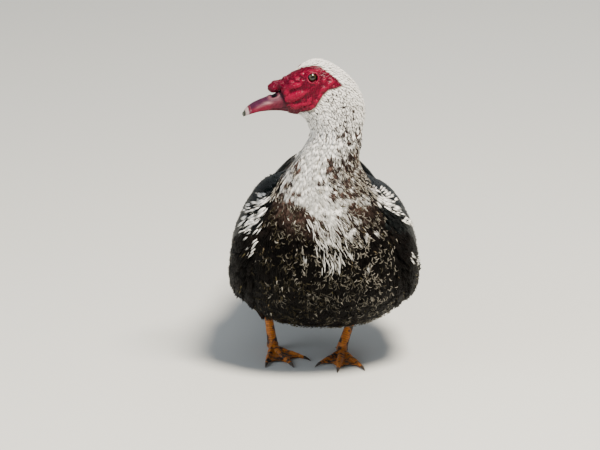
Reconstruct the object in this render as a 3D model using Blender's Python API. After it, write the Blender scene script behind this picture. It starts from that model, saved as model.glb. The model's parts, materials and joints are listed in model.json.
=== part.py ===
"""A life-size still model of a muscovy drake that stands with its head turned to its right.

Metres, +Z up. The bird faces -Y, its left side is +X, and the floor is z = 0. Torso, neck and head
are one surface, lofted as if the bird looked straight ahead and then turned at the neck, and it is
parted into nodes by thin gaps. At the end the bird is moved so that the origin is under its middle.
"""

import math
import random

import bmesh
import bpy
import numpy as np
from mathutils import Matrix, Vector

GAP = 0.0003
WELD = 1e-7
FLAT_ANGLE = math.radians(0.05)
SEED = 7

# The turn of the neck: a vertical axis, the angle of the head to the bird's right, and the lean.
NECK_AXIS_Y = -0.108
HEAD_TURN = math.radians(78)
NECK_LEAN_X = 0.016
TURN_FROM = 7.4
TURN_TO = 12.0
LEAN_FROM = 9.3
LEAN_TO = 12.3

# The left eye's height and depth, in the bird's middle plane with the head facing forward.
# Head places below are forward, left and up from there, in head units.
EYE_Y = -0.143
EYE_Z = 0.3745
HEAD_UNIT = 0.00096

# Side profile of the body with the head facing forward. Each row is one ring of the loft:
# back line y, z; belly line y, z; half width; share of the height where it is widest; squareness.
BODY_ROWS = (
    (0.215, 0.152, 0.212, 0.114, 0.030, 0.50, 2.2),
    (0.186, 0.170, 0.180, 0.091, 0.050, 0.46, 2.2),
    (0.136, 0.189, 0.128, 0.068, 0.073, 0.42, 2.3),
    (0.080, 0.204, 0.072, 0.053, 0.090, 0.38, 2.35),
    (0.025, 0.216, 0.010, 0.045, 0.100, 0.36, 2.35),
    (-0.020, 0.224, -0.055, 0.047, 0.102, 0.37, 2.35),
    (-0.050, 0.231, -0.112, 0.073, 0.097, 0.40, 2.25),
    (-0.066, 0.240, -0.149, 0.121, 0.084, 0.44, 2.15),
    (-0.072, 0.251, -0.160, 0.168, 0.067, 0.48, 2.1),
    (-0.075, 0.263, -0.159, 0.208, 0.055, 0.50, 2.0),
    (-0.075, 0.277, -0.154, 0.245, 0.046, 0.50, 2.0),
    (-0.074, 0.291, -0.146, 0.276, 0.038, 0.50, 2.0),
)

# Head rings in head places: crown line forward, up; throat line forward, up; then as above.
HEAD_ROWS = (
    (-66.5, -75, -3.5, -76, 31.0, 0.50, 2.0),
    (-69.5, -60, -0.5, -67, 30.0, 0.50, 2.0),
    (-70.0, -45, 3.0, -60, 29.0, 0.50, 2.1),
    (-66.0, -29, 6.0, -55, 28.5, 0.50, 2.2),
    (-56.0, -11.5, 9.0, -52, 28.0, 0.50, 2.3),
    (-42.0, 2.5, 12.0, -50.5, 27.5, 0.50, 2.3),
    (-26.0, 13, 14.5, -50, 26.5, 0.52, 2.35),
    (-10.0, 17.5, 17.0, -49.5, 25.0, 0.55, 2.4),
    (4.0, 13.0, 19.0, -49.2, 23.0, 0.55, 2.4),
    (15.0, 5.0, 21.0, -49, 20.5, 0.52, 2.4),
    (26.0, -1.5, 22.5, -48.5, 18.0, 0.50, 2.3),
    (39.0, -12.0, 26.5, -47.5, 15.0, 0.48, 2.2),
)
LAST_ROW = len(BODY_ROWS) + len(HEAD_ROWS) - 1

# Where the loft is parted, in rows counted from the tail root.
NECK_ROOT = 7.6
NECK_MIDDLE = 10.0
JAW = 12.3

# Edge of the bare red face, seen from the side, in head places.
FACE_EDGE = (
    (60, -6), (24, 0.8), (15, 4.6), (9, 8), (1, 11), (-5, 12), (-10, 10.5), (-15, 6.5), (-24, 0.5), (-31, -5),
    (-37, -12.5), (-30, -13.5), (-19, -15), (-12, -21), (-7, -29), (-3, -37), (3, -42), (10, -46),
    (17, -56), (21.5, -56), (33.6, -17.2), (44, -21.5), (54, -25.6), (60, -27.9),
)

# Bill: rows of forward, ridge up, mouth line up, underside up, half width, all in head places.
BILL_ROWS = (
    (35.0, -17.0, -36.0, -47.0, 14.5),
    (44.0, -22.0, -38.5, -44.2, 13.0),
    (54.0, -26.3, -40.0, -43.2, 12.3),
    (64.0, -30.5, -41.4, -43.6, 12.8),
    (72.0, -34.6, -43.2, -45.2, 12.4),
    (78.5, -39.6, -46.0, -47.8, 8.6),
    (82.5, -44.5, -49.0, -49.5, 3.6),
)
BILL_BASE = 36.4
BILL_BASE_TOP = -9.5
BILL_BASE_SLANT = 0.3117
NAIL_FROM = 74.5
LOWER_BILL_TO = 75.5
NOSTRIL = (42.5, 8.5, -25.0)
NOSTRIL_SIZE = (3.6, 3.0, 1.7)

EYE_RADIUS = 7.0
EYE_SIDE = 16.8
LID_RADIUS = 6.2
LID_THICKNESS = 1.5

BLACK = (0.012, 0.012, 0.014, 1)
WHITE = (0.80, 0.78, 0.74, 1)
BROWN = (0.045, 0.034, 0.028, 1)
RED = (0.55, 0.01, 0.03, 1)
PINK = (0.45, 0.10, 0.13, 1)
HORN = (0.10, 0.10, 0.07, 1)
LEG = (0.42, 0.17, 0.04, 1)
AMBER = (0.16, 0.11, 0.04, 1)


def spline_row(rows, at):
    """A smooth row between the given rows, by a Catmull-Rom curve through them."""
    last = len(rows) - 1
    at = min(max(at, 0.0), last - 1e-9)
    i = int(at)
    t = at - i
    p0, p1, p2, p3 = (rows[min(max(i + k, 0), last)] for k in (-1, 0, 1, 2))
    if i == 0:
        p0 = 2 * p1 - p2
    if i == last - 1:
        p3 = 2 * p2 - p1
    bend = 2 * p0 - 5 * p1 + 4 * p2 - p3
    twist = 3 * p1 - p0 - 3 * p2 + p3
    return 0.5 * (2 * p1 + (p2 - p0) * t + bend * t**2 + twist * t**3)


def profile_rows():
    """Every ring row of the bird in metres, tail to bill."""
    rows = [np.array(row) for row in BODY_ROWS]
    for crown_f, crown_u, throat_f, throat_u, half, widest, square in HEAD_ROWS:
        rows.append(
            np.array(
                (
                    EYE_Y - crown_f * HEAD_UNIT, EYE_Z + crown_u * HEAD_UNIT,
                    EYE_Y - throat_f * HEAD_UNIT, EYE_Z + throat_u * HEAD_UNIT,
                    half * HEAD_UNIT, widest, square,
                )
            )
        )
    return rows


PROFILE = profile_rows()


def smooth_step(value):
    value = min(max(value, 0.0), 1.0)
    return value * value * (3 - 2 * value)


def turned(points, row):
    """Points of a ring, or of the head, after the neck has turned and leaned there."""
    share = smooth_step((row - TURN_FROM) / (TURN_TO - TURN_FROM))
    angle = -HEAD_TURN * share
    points = np.asarray(points, float).copy()
    x, y = points[..., 0].copy(), points[..., 1] - NECK_AXIS_Y
    lean = NECK_LEAN_X * smooth_step((row - LEAN_FROM) / (LEAN_TO - LEAN_FROM))
    points[..., 0] = x * math.cos(angle) - y * math.sin(angle) + lean
    points[..., 1] = x * math.sin(angle) + y * math.cos(angle) + NECK_AXIS_Y
    return points


def head_place(forward, left, up):
    """A world point from head units forward, left and up of the eye."""
    spot = (left * HEAD_UNIT, EYE_Y - forward * HEAD_UNIT, EYE_Z + up * HEAD_UNIT)
    return turned(np.array(spot), LAST_ROW)


def ring_points(row, angles, outward=0.0):
    """Points of the body's ring at a row, at angles from the back line round to the left side."""
    back_y, back_z, belly_y, belly_z, half, widest, square = spline_row(PROFILE, row)
    back, belly = np.array((0, back_y, back_z)), np.array((0, belly_y, belly_z))
    centre = belly + (back - belly) * widest
    upward = (back - belly) / np.linalg.norm(back - belly)
    height = np.linalg.norm(back - belly)
    c, s = np.cos(angles), np.sin(angles)
    power = 2.0 / square
    across = (half + outward) * np.sign(s) * np.abs(s) ** power
    reach = np.where(c > 0, height * (1 - widest), height * widest) + outward
    along = reach * np.sign(c) * np.abs(c) ** power
    points = centre + along[..., None] * upward
    points[..., 0] += across
    return turned(points, row)


def ring_normal(row):
    """The direction that a ring faces, towards the bill."""
    points = ring_points(row, np.array((0.0, math.pi / 2, math.pi)))
    normal = np.cross(points[1] - points[2], points[0] - points[2])
    normal /= np.linalg.norm(normal)
    back_and_belly = np.array((0.0, math.pi))
    ahead = ring_points(row + 0.05, back_and_belly).mean(0) - ring_points(row, back_and_belly).mean(0)
    return normal if normal @ ahead > 0 else -normal


def body_point(row, angle, lift=0.0):
    """A point on the torso, or above it by lift along its normal."""
    step = 0.02
    angles = np.array((angle, angle + step, angle - step))
    here, left, right = ring_points(row, angles)
    ahead, behind = ring_points(row + step, angles[:1])[0], ring_points(row - step, angles[:1])[0]
    normal = np.cross(left - right, ahead - behind)
    normal /= np.linalg.norm(normal)
    centre = ring_points(row, np.array((0.0, math.pi))).mean(0)
    if normal @ (here - centre) < 0:
        normal = -normal
    return here + normal * lift


def material(name, colour, roughness=0.6):
    found = bpy.data.materials.get(name)
    if found:
        return found
    made = bpy.data.materials.new(name)
    made.use_nodes = True
    shader = made.node_tree.nodes["Principled BSDF"]
    shader.inputs["Base Color"].default_value = colour
    shader.inputs["Roughness"].default_value = roughness
    shader.inputs["Metallic"].default_value = 0.0
    made.diffuse_color = colour
    return made


def node_from(name, points, faces, finish=None):
    """A closed mesh object with its faces pointing out."""
    mesh = bpy.data.meshes.new(name)
    mesh.from_pydata([tuple(map(float, p)) for p in points], [], faces)
    shape = bmesh.new()
    shape.from_mesh(mesh)
    bmesh.ops.recalc_face_normals(shape, faces=shape.faces)
    if shape.calc_volume(signed=True) < 0:
        bmesh.ops.reverse_faces(shape, faces=shape.faces)
    shape.to_mesh(mesh)
    shape.free()
    mesh.shade_smooth()
    made = bpy.data.objects.new(name, mesh)
    bpy.context.scene.collection.objects.link(made)
    if finish:
        mesh.materials.append(finish)
    return made


def loft(name, rings, finish=None):
    """A tube through rings of equally many points, closed by a fan at each end."""
    count = len(rings[0])
    points = [p for ring in rings for p in ring]
    faces = []
    for i in range(len(rings) - 1):
        for j in range(count):
            k = (j + 1) % count
            faces.append((i * count + j, i * count + k, (i + 1) * count + k, (i + 1) * count + j))
    for first, ring in ((0, rings[0]), ((len(rings) - 1) * count, rings[-1])):
        points.append(np.mean(ring, axis=0))
        faces += [(first + j, first + (j + 1) % count, len(points) - 1) for j in range(count)]
    return node_from(name, points, faces, finish)


def body_length(name, start, end, steps, around, finish=None, shrink=0.0):
    """The stretch of the bird's loft between two rows, its ends set back by half a gap."""
    angles = np.linspace(0, 2 * math.pi, around, endpoint=False)
    rows = np.linspace(start, end, steps)
    rings = [ring_points(row, angles, -shrink) for row in rows]
    if start > 0:
        rings[0] = rings[0] + ring_normal(start) * GAP / 2
    if end < LAST_ROW:
        rings[-1] = rings[-1] - ring_normal(end) * GAP / 2
    return loft(name, rings, finish)


def plate(name, top, bottom, finish=None):
    """A thin solid between two grids of points, with the same diagonals on both faces."""
    rows, columns = top.shape[:2]
    points = np.concatenate([top.reshape(-1, 3), bottom.reshape(-1, 3)])
    under = rows * columns
    faces = []
    for i in range(rows - 1):
        for j in range(columns - 1):
            a, b = i * columns + j, i * columns + j + 1
            c, d = a + columns, b + columns
            faces += [(a, b, d), (a, d, c)]
            faces += [(under + a, under + d, under + b), (under + a, under + c, under + d)]
    rim = [j for j in range(columns)]
    rim += [i * columns + columns - 1 for i in range(1, rows)]
    rim += [(rows - 1) * columns + j for j in range(columns - 2, -1, -1)]
    rim += [i * columns for i in range(rows - 2, 0, -1)]
    for here, there in zip(rim, rim[1:] + rim[:1]):
        faces += [(here, under + here, under + there), (here, under + there, there)]
    return node_from(name, points, faces, finish)


def ball(name, centre, radii, axes=None, around=6, rings=4, finish=None):
    """A low ball stretched along three axes."""
    shape = bmesh.new()
    bmesh.ops.create_uvsphere(shape, u_segments=around, v_segments=rings, radius=1.0)
    axes = np.eye(3) if axes is None else np.asarray(axes)
    points = [np.asarray(centre) + (np.array(v.co) * radii) @ axes for v in shape.verts]
    faces = [tuple(v.index for v in f.verts) for f in shape.faces]
    shape.free()
    return node_from(name, points, faces, finish)


def apply_modifiers(target):
    graph = bpy.context.evaluated_depsgraph_get()
    mesh = bpy.data.meshes.new_from_object(target.evaluated_get(graph), depsgraph=graph)
    target.modifiers.clear()
    target.data = mesh


def combine(target, others, operation, solver="MANIFOLD"):
    """One applied Boolean between the target and a collection of closed meshes, which are then removed.

    The Manifold solver joins dozens of thin vanes in a moment, where the exact one takes minutes."""
    group = bpy.data.collections.new(target.name + "_pieces")
    bpy.context.scene.collection.children.link(group)
    for other in others:
        bpy.context.scene.collection.objects.unlink(other)
        group.objects.link(other)
    modifier = target.modifiers.new("Combine", "BOOLEAN")
    modifier.operation = operation
    modifier.solver = solver
    modifier.operand_type = "COLLECTION"
    modifier.collection = group
    apply_modifiers(target)
    for other in others:
        bpy.data.objects.remove(other)
    bpy.data.collections.remove(group)
    return target


def keep_largest(target):
    """Leaves only the largest closed surface of a node, with the scraps of each flat face joined."""
    shape = bmesh.new()
    shape.from_mesh(target.data)
    bmesh.ops.remove_doubles(shape, verts=shape.verts, dist=WELD)
    bmesh.ops.dissolve_limit(shape, angle_limit=FLAT_ANGLE, verts=shape.verts, edges=shape.edges)
    bmesh.ops.triangulate(shape, faces=shape.faces)
    left, islands = set(shape.faces), []
    while left:
        island, edge_of = set(), [left.pop()]
        while edge_of:
            face = edge_of.pop()
            island.add(face)
            for edge in face.edges:
                for other in edge.link_faces:
                    if other in left:
                        left.discard(other)
                        edge_of.append(other)
        islands.append(island)

    def size(island):
        low = Vector((1e9, 1e9, 1e9))
        high = -low
        for face in island:
            for vert in face.verts:
                low = Vector(map(min, low, vert.co))
                high = Vector(map(max, high, vert.co))
        return (high - low).length

    islands.sort(key=size, reverse=True)
    for island in islands[1:]:
        bmesh.ops.delete(shape, geom=list(island), context="FACES")
    shape.to_mesh(target.data)
    shape.free()
    return target


def fused(name, pieces, finish):
    """One node from closed pieces that overlap."""
    base = pieces[0]
    base.name = name
    if len(pieces) > 1:
        combine(base, pieces[1:], "UNION")
    keep_largest(base)
    base.data.materials.clear()
    base.data.materials.append(finish)
    return base


# Torso and neck

TORSO_RINGS = 20
TORSO_AROUND = 28


def make_torso():
    brown = material("breast_feathers", BROWN, 0.7)
    return body_length("torso", 0.0, NECK_ROOT, TORSO_RINGS, TORSO_AROUND, brown)


def body_cutter():
    """The torso grown by a gap, to cut what would run into it."""
    return body_length("body_cutter", 0.0, NECK_ROOT, TORSO_RINGS, TORSO_AROUND, None, -GAP)


def make_neck():
    white = material("white_feathers", WHITE, 0.7)
    body_length("neck_lower", NECK_ROOT, NECK_MIDDLE, 7, TORSO_AROUND, white)
    body_length("neck_upper", NECK_MIDDLE, JAW, 6, TORSO_AROUND, white)


# Head

HEAD_RINGS = 16
HEAD_AROUND = 30


def head_axes():
    """World directions of forward, left and up on the head, as rows."""
    origin = head_place(0, 0, 0)
    steps = ((1, 0, 0), (0, 1, 0), (0, 0, 1))
    return np.array([(head_place(*step) - origin) / HEAD_UNIT for step in steps])


def side_prism(name, outline, half_width=60.0):
    """A block with a side outline in head places, right through the head."""
    left = [head_place(f, half_width, u) for f, u in outline]
    right = [head_place(f, -half_width, u) for f, u in outline]
    count = len(outline)
    faces = [tuple(range(count)), tuple(range(2 * count - 1, count - 1, -1))]
    faces += [(j, (j + 1) % count, count + (j + 1) % count, count + j) for j in range(count)]
    return node_from(name, left + right, faces)


def grown_outline(outline, by):
    """The same outline moved outwards by a distance."""
    grown = []
    for i, here in enumerate(outline):
        before, after = Vector(outline[i - 1]), Vector(outline[(i + 1) % len(outline)])
        here = Vector(here)
        first, second = (here - before).normalized(), (after - here).normalized()
        along = (first + second).normalized()
        normal = Vector((along.y, -along.x))
        stretch = max(0.5, normal.dot(Vector((first.y, -first.x))))
        grown.append(tuple(here + normal * by / stretch))
    return grown


def head_side(forward, up):
    """How far the head's left surface stands from its middle plane at a place, in millimetres."""
    best, found = 1e9, 0.0
    for row in np.linspace(FIRST_FACE_ROW, LAST_ROW, 60):
        for angle in np.linspace(0.15, math.pi - 0.15, 40):
            back_y, back_z, belly_y, belly_z, half, widest, square = spline_row(PROFILE, row)
            back, belly = np.array((back_y, back_z)), np.array((belly_y, belly_z))
            height = np.linalg.norm(back - belly)
            c, s = math.cos(angle), math.sin(angle)
            reach = height * ((1 - widest) if c > 0 else widest)
            spot = belly + (back - belly) * widest
            spot = spot + (back - belly) / height * reach * math.copysign(abs(c) ** (2 / square), c)
            away = math.hypot((EYE_Y - spot[0]) / HEAD_UNIT - forward, (spot[1] - EYE_Z) / HEAD_UNIT - up)
            if away < best:
                best, found = away, half * s ** (2 / square) / HEAD_UNIT
    return found


FIRST_FACE_ROW = 15.0

# Flesh lobes of one side of the face: forward, up, length, width, height, slope in degrees.
LOBES = (
    (18.0, -23.5, 12.5, 5.2, 4.6, -18),
    (17.0, -11.5, 13.0, 4.4, 3.4, 6),
    (30.0, -27.5, 5.2, 4.6, 4.0, -60),
    (9.0, -34.5, 7.5, 3.6, 3.4, -32),
    (16.0, -37.5, 5.5, 2.6, 2.8, -12),
    (1.5, -37.0, 4.6, 3.2, 3.0, -60),
    (-3.0, -30.0, 4.2, 3.0, 2.8, -70),
    (-7.5, -22.5, 4.6, 3.0, 2.8, -55),
    (5.0, -27.5, 5.5, 3.0, 2.6, -50),
    (-12.5, -13.5, 5.0, 3.4, 2.4, -30),
    (-22.0, -7.5, 6.5, 3.2, 2.4, -35),
    (-13.5, -3.0, 5.0, 2.8, 2.2, -75),
    (0.5, 7.0, 9.5, 2.8, 3.6, 3),
)

# Beads along the brow, as forward, up and radius.
BROW_BEADS = (
    (33.0, -13.5, 4.2), (25.5, -7.0, 3.8), (18.5, -2.2, 3.4), (11.5, 2.8, 3.0), (4.5, 7.2, 2.6),
    (13.0, -4.5, 2.6),
)

# The knob over the bill: forward, left, up, then half length, half width, half height.
KNOBS = (
    (43.0, 0.0, -14.6, 8.0, 6.6, 5.6),
    (35.0, 3.8, -11.5, 7.0, 5.6, 5.0),
    (35.0, -3.8, -11.5, 7.0, 5.6, 5.0),
    (27.5, 0.0, -5.5, 5.5, 6.0, 4.0),
)


def face_lobes(side):
    """The lobes, beads and lid rim of one side; side is 1 for the left and -1 for the right."""
    forward, left, up = head_axes()
    pieces = []
    for i, (f, u, length, width, height, slope) in enumerate(LOBES):
        turn = math.radians(slope)
        along = forward * math.cos(turn) + up * math.sin(turn)
        across = -forward * math.sin(turn) + up * math.cos(turn)
        place = head_place(f, side * (head_side(f, u) - 0.25 * height), u)
        radii = np.array((length, width, height)) * HEAD_UNIT
        pieces.append(ball(f"lobe_{i}", place, radii, (along, across, left)))
    for i, (f, u, radius) in enumerate(BROW_BEADS):
        place = head_place(f, side * (head_side(f, u) - 0.3 * radius), u)
        pieces.append(ball(f"bead_{i}", place, np.full(3, radius * HEAD_UNIT), None, 6, 3))
    pieces.append(lid_rim(side))
    return pieces


def lid_rim(side):
    """The swollen rim of the lids round one eye."""
    forward, left, up = head_axes()
    centre = head_place(0, side * (EYE_SIDE + 5.0), 0)
    around, across = 12, 4
    points, faces = [], []
    for i in range(around):
        a = 2 * math.pi * i / around
        spoke = forward * math.cos(a) * 1.06 + up * math.sin(a) * 0.94
        for j in range(across):
            b = 2 * math.pi * j / across
            radius = LID_RADIUS + LID_THICKNESS * math.cos(b)
            rise = left * side * 1.3 * LID_THICKNESS * math.sin(b)
            points.append(centre + (spoke * radius + rise) * HEAD_UNIT)
            k, m = (i + 1) % around, (j + 1) % across
            faces.append((i * across + j, k * across + j, k * across + m, i * across + m))
    return node_from("lid_rim", points, faces)


def make_head():
    """The feathered head, the bare face with its flesh lobes, and the eyes."""
    whole = body_length("face_shape", JAW, LAST_ROW, HEAD_RINGS, HEAD_AROUND)
    feathered = whole.copy()
    feathered.data = whole.data.copy()
    feathered.name = "head"
    bpy.context.scene.collection.objects.link(feathered)
    axes = head_axes()
    knobs = [
        ball(f"knob_{i}", head_place(f, l, u), np.array(size) * HEAD_UNIT, axes, 10, 6)
        for i, (f, l, u, *size) in enumerate(KNOBS)
    ]
    red = material("caruncles", RED, 0.35)
    face = fused("face", [whole, *knobs, *face_lobes(1), *face_lobes(-1)], red)
    combine(face, [side_prism("face_mask", FACE_EDGE)], "INTERSECT")
    combine(feathered, [side_prism("face_mask", grown_outline(FACE_EDGE, GAP / HEAD_UNIT))], "DIFFERENCE")
    hollow = np.full(3, EYE_RADIUS * HEAD_UNIT + GAP)
    sockets = [ball(f"socket_{s}", head_place(0, s * EYE_SIDE, 0), hollow, axes, 14, 8) for s in (1, -1)]
    combine(face, sockets, "DIFFERENCE")
    keep_largest(face)
    keep_largest(feathered)
    feathered.data.materials.append(material("head_feathers", WHITE, 0.7))
    for side, name in ((1, "eye_left"), (-1, "eye_right")):
        radii = np.full(3, EYE_RADIUS * HEAD_UNIT)
        ball(name, head_place(0, side * EYE_SIDE, 0), radii, axes, 12, 8, material("eye", AMBER, 0.1))


# Bill

BILL_AROUND = 9


def bill_row(forward):
    rows = [np.array(row) for row in BILL_ROWS]
    low, high = 0.0, len(rows) - 1.0
    for _ in range(40):
        middle = (low + high) / 2
        if spline_row(rows, middle)[0] < forward:
            low = middle
        else:
            high = middle
    return spline_row(rows, low)


def slanted(forward, slant, spots):
    """World points of a bill ring whose lower edge is set back by the slant of the bill's base."""
    return [head_place(forward + slant * (up - BILL_BASE_TOP), across, up) for across, up in spots]


def upper_bill_ring(forward, slant=0.0):
    """The arch of the upper bill, open side down."""
    _, ridge, mouth, _, half = bill_row(forward)
    ring = []
    for angle in np.linspace(0, math.pi, BILL_AROUND):
        ring.append((math.cos(angle) * half, mouth + (ridge - mouth) * math.sin(angle) ** 0.85))
    palate = 0.10 * (ridge - mouth)
    ring += [(share * half, mouth + palate * (1 - abs(share))) for share in (-0.6, 0.0, 0.6)]
    return slanted(forward, slant, ring)


def lower_bill_ring(forward, slant=0.0):
    """The shallow trough of the lower bill, a gap under the mouth line and inside the upper edge."""
    _, ridge, mouth, under, half = bill_row(forward)
    half = half * 0.86
    top = mouth - 0.5
    under = min(under, top - 1.2)
    ring = [(share * half, top) for share in (1.0, 0.5, 0.0, -0.5, -1.0)]
    for angle in np.linspace(math.pi, 2 * math.pi, 7)[1:-1]:
        ring.append((math.cos(angle) * half * 0.95, top + (top - under) * math.sin(angle)))
    return slanted(forward, slant, ring)


def make_bill():
    pink = material("bill", PINK, 0.35)
    forwards = np.linspace(BILL_BASE, NAIL_FROM, 8)
    slants = [BILL_BASE_SLANT * max(0.0, 1 - 1.6 * i / 7) for i in range(8)]
    upper = loft("bill_upper", [upper_bill_ring(f, s) for f, s in zip(forwards, slants)], pink)
    axes = head_axes()
    tilt = math.radians(-24)
    along = axes[0] * math.cos(tilt) + axes[2] * math.sin(tilt)
    across = -axes[0] * math.sin(tilt) + axes[2] * math.cos(tilt)
    pit_size = np.array(NOSTRIL_SIZE) * HEAD_UNIT
    pits = []
    for side in (1, -1):
        place = head_place(NOSTRIL[0], side * NOSTRIL[1], NOSTRIL[2])
        pits.append(ball(f"nostril_{side}", place, pit_size, (along, axes[1], across), 10, 6))
    combine(upper, pits, "DIFFERENCE")
    keep_largest(upper)
    tip = np.linspace(NAIL_FROM + GAP / HEAD_UNIT, BILL_ROWS[-1][0], 5)
    loft("bill_nail", [upper_bill_ring(f) for f in tip], material("nail", HORN, 0.3))
    forwards = np.linspace(BILL_BASE, LOWER_BILL_TO, 7)
    slants = [BILL_BASE_SLANT * max(0.0, 1 - 1.6 * i / 6) for i in range(7)]
    loft("bill_lower", [lower_bill_ring(f, s) for f, s in zip(forwards, slants)], pink)


# Wings

WING_THICK = 0.010
WING_THIN = 0.0022
BASE_THIN = 0.0018
WING_REAR = 1.3
WING_FRONT = 7.0
WING_BASE_REAR = 3.0
WING_EDGES = (
    (1.3, 24, 66), (2.2, 22, 88), (3.4, 24, 104), (5.0, 27, 112), (5.8, 37, 110), (6.3, 48, 103),
    (6.7, 57, 95), (7.0, 66, 82),
)
# The bird's right wing is held a little fuller over its upper edge: height, row, angle and their spreads.
RIGHT_WING_RISE = (0.008, 4.6, 30, 1.5, 15)
VANE_THICK = 0.0011
VANE_TILT = 0.0012
VANE_CROWN = 0.0003
ARC_STEP = 0.02
DEGREE = math.pi / 180


def wing_edges(row):
    """The upper and lower angles that the folded wing spans on the body at a row."""
    table = np.array(WING_EDGES)
    upper = np.interp(row, table[:, 0], table[:, 1])
    lower = np.interp(row, table[:, 0], table[:, 2])
    return upper * DEGREE, lower * DEGREE


def wing_height(row, angle, rise):
    """Thickness of the wing's fleshy base over the body."""
    upper, lower = wing_edges(row)
    across = 2 * (angle - upper) / (lower - upper) - 1
    along = 2 * (row - WING_REAR) / (WING_FRONT - WING_REAR) - 1
    dome = max(0.0, 1 - abs(across) ** 3.0) ** 0.6
    ends = max(0.0, 1 - max(along, 0) ** 4) ** 0.6 * (1 - 0.55 * smooth_step(-along))
    _, mid_row, mid_angle, row_spread, angle_spread = RIGHT_WING_RISE
    away = ((row - mid_row) / row_spread) ** 2 + ((angle / DEGREE - mid_angle) / angle_spread) ** 2
    return WING_THIN + (WING_THICK - WING_THIN) * dome * ends + rise * math.exp(-away)


def base_height(row, angle, rise):
    """The fleshy base under the vanes, thinned to nothing much at its rear edge."""
    share = smooth_step((row - WING_BASE_REAR) / 1.5)
    return BASE_THIN + (wing_height(row, angle, rise) - BASE_THIN) * (0.35 + 0.65 * share)


def wing_surface(row, angle, lift, rise):
    return body_point(row, angle, GAP + wing_height(row, angle, rise) + lift)


def wing_base(rise):
    """The fleshy base of the left wing, lying on the body."""
    rows = np.linspace(WING_BASE_REAR, WING_FRONT, 7)
    top, bottom = [], []
    for row in rows:
        upper, lower = wing_edges(row)
        angles = np.linspace(upper, lower, 6)
        top.append([body_point(row, a, GAP + base_height(row, a, rise)) for a in angles])
        bottom.append([body_point(row, a, 2.0 * GAP) for a in angles])
    return plate("wing_base", np.array(top), np.array(bottom))


def laid_vane(name, root, tip, width, lifts, rise, steps=4):
    """A vane that follows the wing's surface from root to tip, each given as row and angle in degrees.

    lifts are the heights of its middle above the wing at root and tip; its lower edge is lifted more."""
    top, bottom = [], []
    for i in range(steps + 1):
        share = i / steps
        row = root[0] + (tip[0] - root[0]) * share
        angle = (root[1] + (tip[1] - root[1]) * share) * DEGREE
        lift = lifts[0] + (lifts[1] - lifts[0]) * share
        half = width / 2 * vane_width(share)
        above = wing_surface(row, angle + ARC_STEP, 0, rise)
        below = wing_surface(row, angle - ARC_STEP, 0, rise)
        arc = np.linalg.norm(above - below) / (2 * ARC_STEP)
        swing = half / arc
        grid_top, grid_bottom = [], []
        for column in (-1, 0, 1):
            height = lift + VANE_TILT * column * vane_width(share) - VANE_CROWN * abs(column)
            spot_angle = angle + swing * column
            grid_top.append(wing_surface(row, spot_angle, height + VANE_THICK / 2, rise))
            grid_bottom.append(wing_surface(row, spot_angle, height - VANE_THICK / 2, rise))
        top.append(grid_top)
        bottom.append(grid_bottom)
    return plate(name, np.array(top), np.array(bottom))


def vane_width(share):
    """Width of a vane along its length: narrow at the root, full past the middle, round at the tip."""
    root = min(1.0, 0.55 + 1.6 * share)
    tip = math.sqrt(max(0.0, 1 - max(0.0, (share - 0.72) / 0.30) ** 2))
    return max(0.22, root * tip)


def free_vane(name, root, tip, width, sag, roll, side_hint, steps=4, thick=0.001):
    """A straight flight or tail feather between two points, with its middle raised a little."""
    root, tip = np.asarray(root), np.asarray(tip)
    along = (tip - root) / np.linalg.norm(tip - root)
    up = np.array(side_hint, float)
    across = np.cross(along, up)
    across /= np.linalg.norm(across)
    up = np.cross(across, along)
    c, s = math.cos(roll), math.sin(roll)
    across, up = across * c + up * s, up * c - across * s
    top, bottom = [], []
    for i in range(steps + 1):
        share = i / steps
        half = width / 2 * vane_width(share)
        centre = root + (tip - root) * share + up * sag * math.sin(math.pi * share)
        columns = [centre - across * half - up * 0.0006, centre, centre + across * half - up * 0.0006]
        top.append([c + up * thick / 2 for c in columns])
        bottom.append([c - up * thick / 2 for c in columns])
    return plate(name, np.array(top), np.array(bottom))


# Tiers of laid vanes: name, how many, first angle and step between feathers in degrees, root row,
# tip row and its growth with the count squared, the turns of the root and the tip from the angle
# and of the tip per feather, width, lifts at root and tip, and steps along the vane.
TIERS = (
    ("greater_covert", 6, 42, 11.6, 4.75, (3.37, 0.0), (-3, -1, 0.0), 0.0275, (-0.0030, 0.0030), 3),
    ("secondary", 5, 50, 10.6, 3.90, (1.55, 0.055), (0, -9, 2.0), 0.030, (-0.0045, 0.0004), 4),
    ("tertial", 3, 30, 9.0, 4.20, (1.18, 0.10), (3, -4, 0.0), 0.027, (-0.0028, 0.0030), 4),
)


def feather_rows(random_source, rise):
    """The laid vanes of the left wing, tier by tier from the front."""
    pieces = []
    for name, count, first, step, roots, tips, turns, width, lifts, steps in TIERS:
        for i in range(count):
            angle = first + step * i
            root = (roots, angle + turns[0])
            tip = (tips[0] + tips[1] * i * i, angle + turns[1] + turns[2] * i)
            varied = width * random_source.uniform(0.96, 1.04)
            pieces.append(laid_vane(f"{name}_{i}", root, tip, varied, lifts, rise, steps))
    return pieces


PRIMARIES = 4
PRIMARY_ROOT_ROW = 2.75
PRIMARY_WIDTH = 0.025
PRIMARY_SAG = 0.004
PRIMARY_ROLL = math.radians(-14)
PRIMARY_FACING = (0.62, 0.0, 0.78)
PRIMARY_TIP = (0.036, 0.262, 0.176)
PRIMARY_STEP = (0.0029, -0.0167, -0.0056)


def primaries(rise):
    """The folded long flight feathers, stacked under the shorter ones and reaching over the rump."""
    pieces = []
    for i in range(PRIMARIES):
        root = wing_surface(PRIMARY_ROOT_ROW, (48 + 5.6 * i) * DEGREE, -0.0024, rise)
        tip = np.array(PRIMARY_TIP) + np.array(PRIMARY_STEP) * i
        vane = free_vane(f"primary_{i}", root, tip, PRIMARY_WIDTH, PRIMARY_SAG, PRIMARY_ROLL, PRIMARY_FACING)
        pieces.append(vane)
    return pieces


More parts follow.
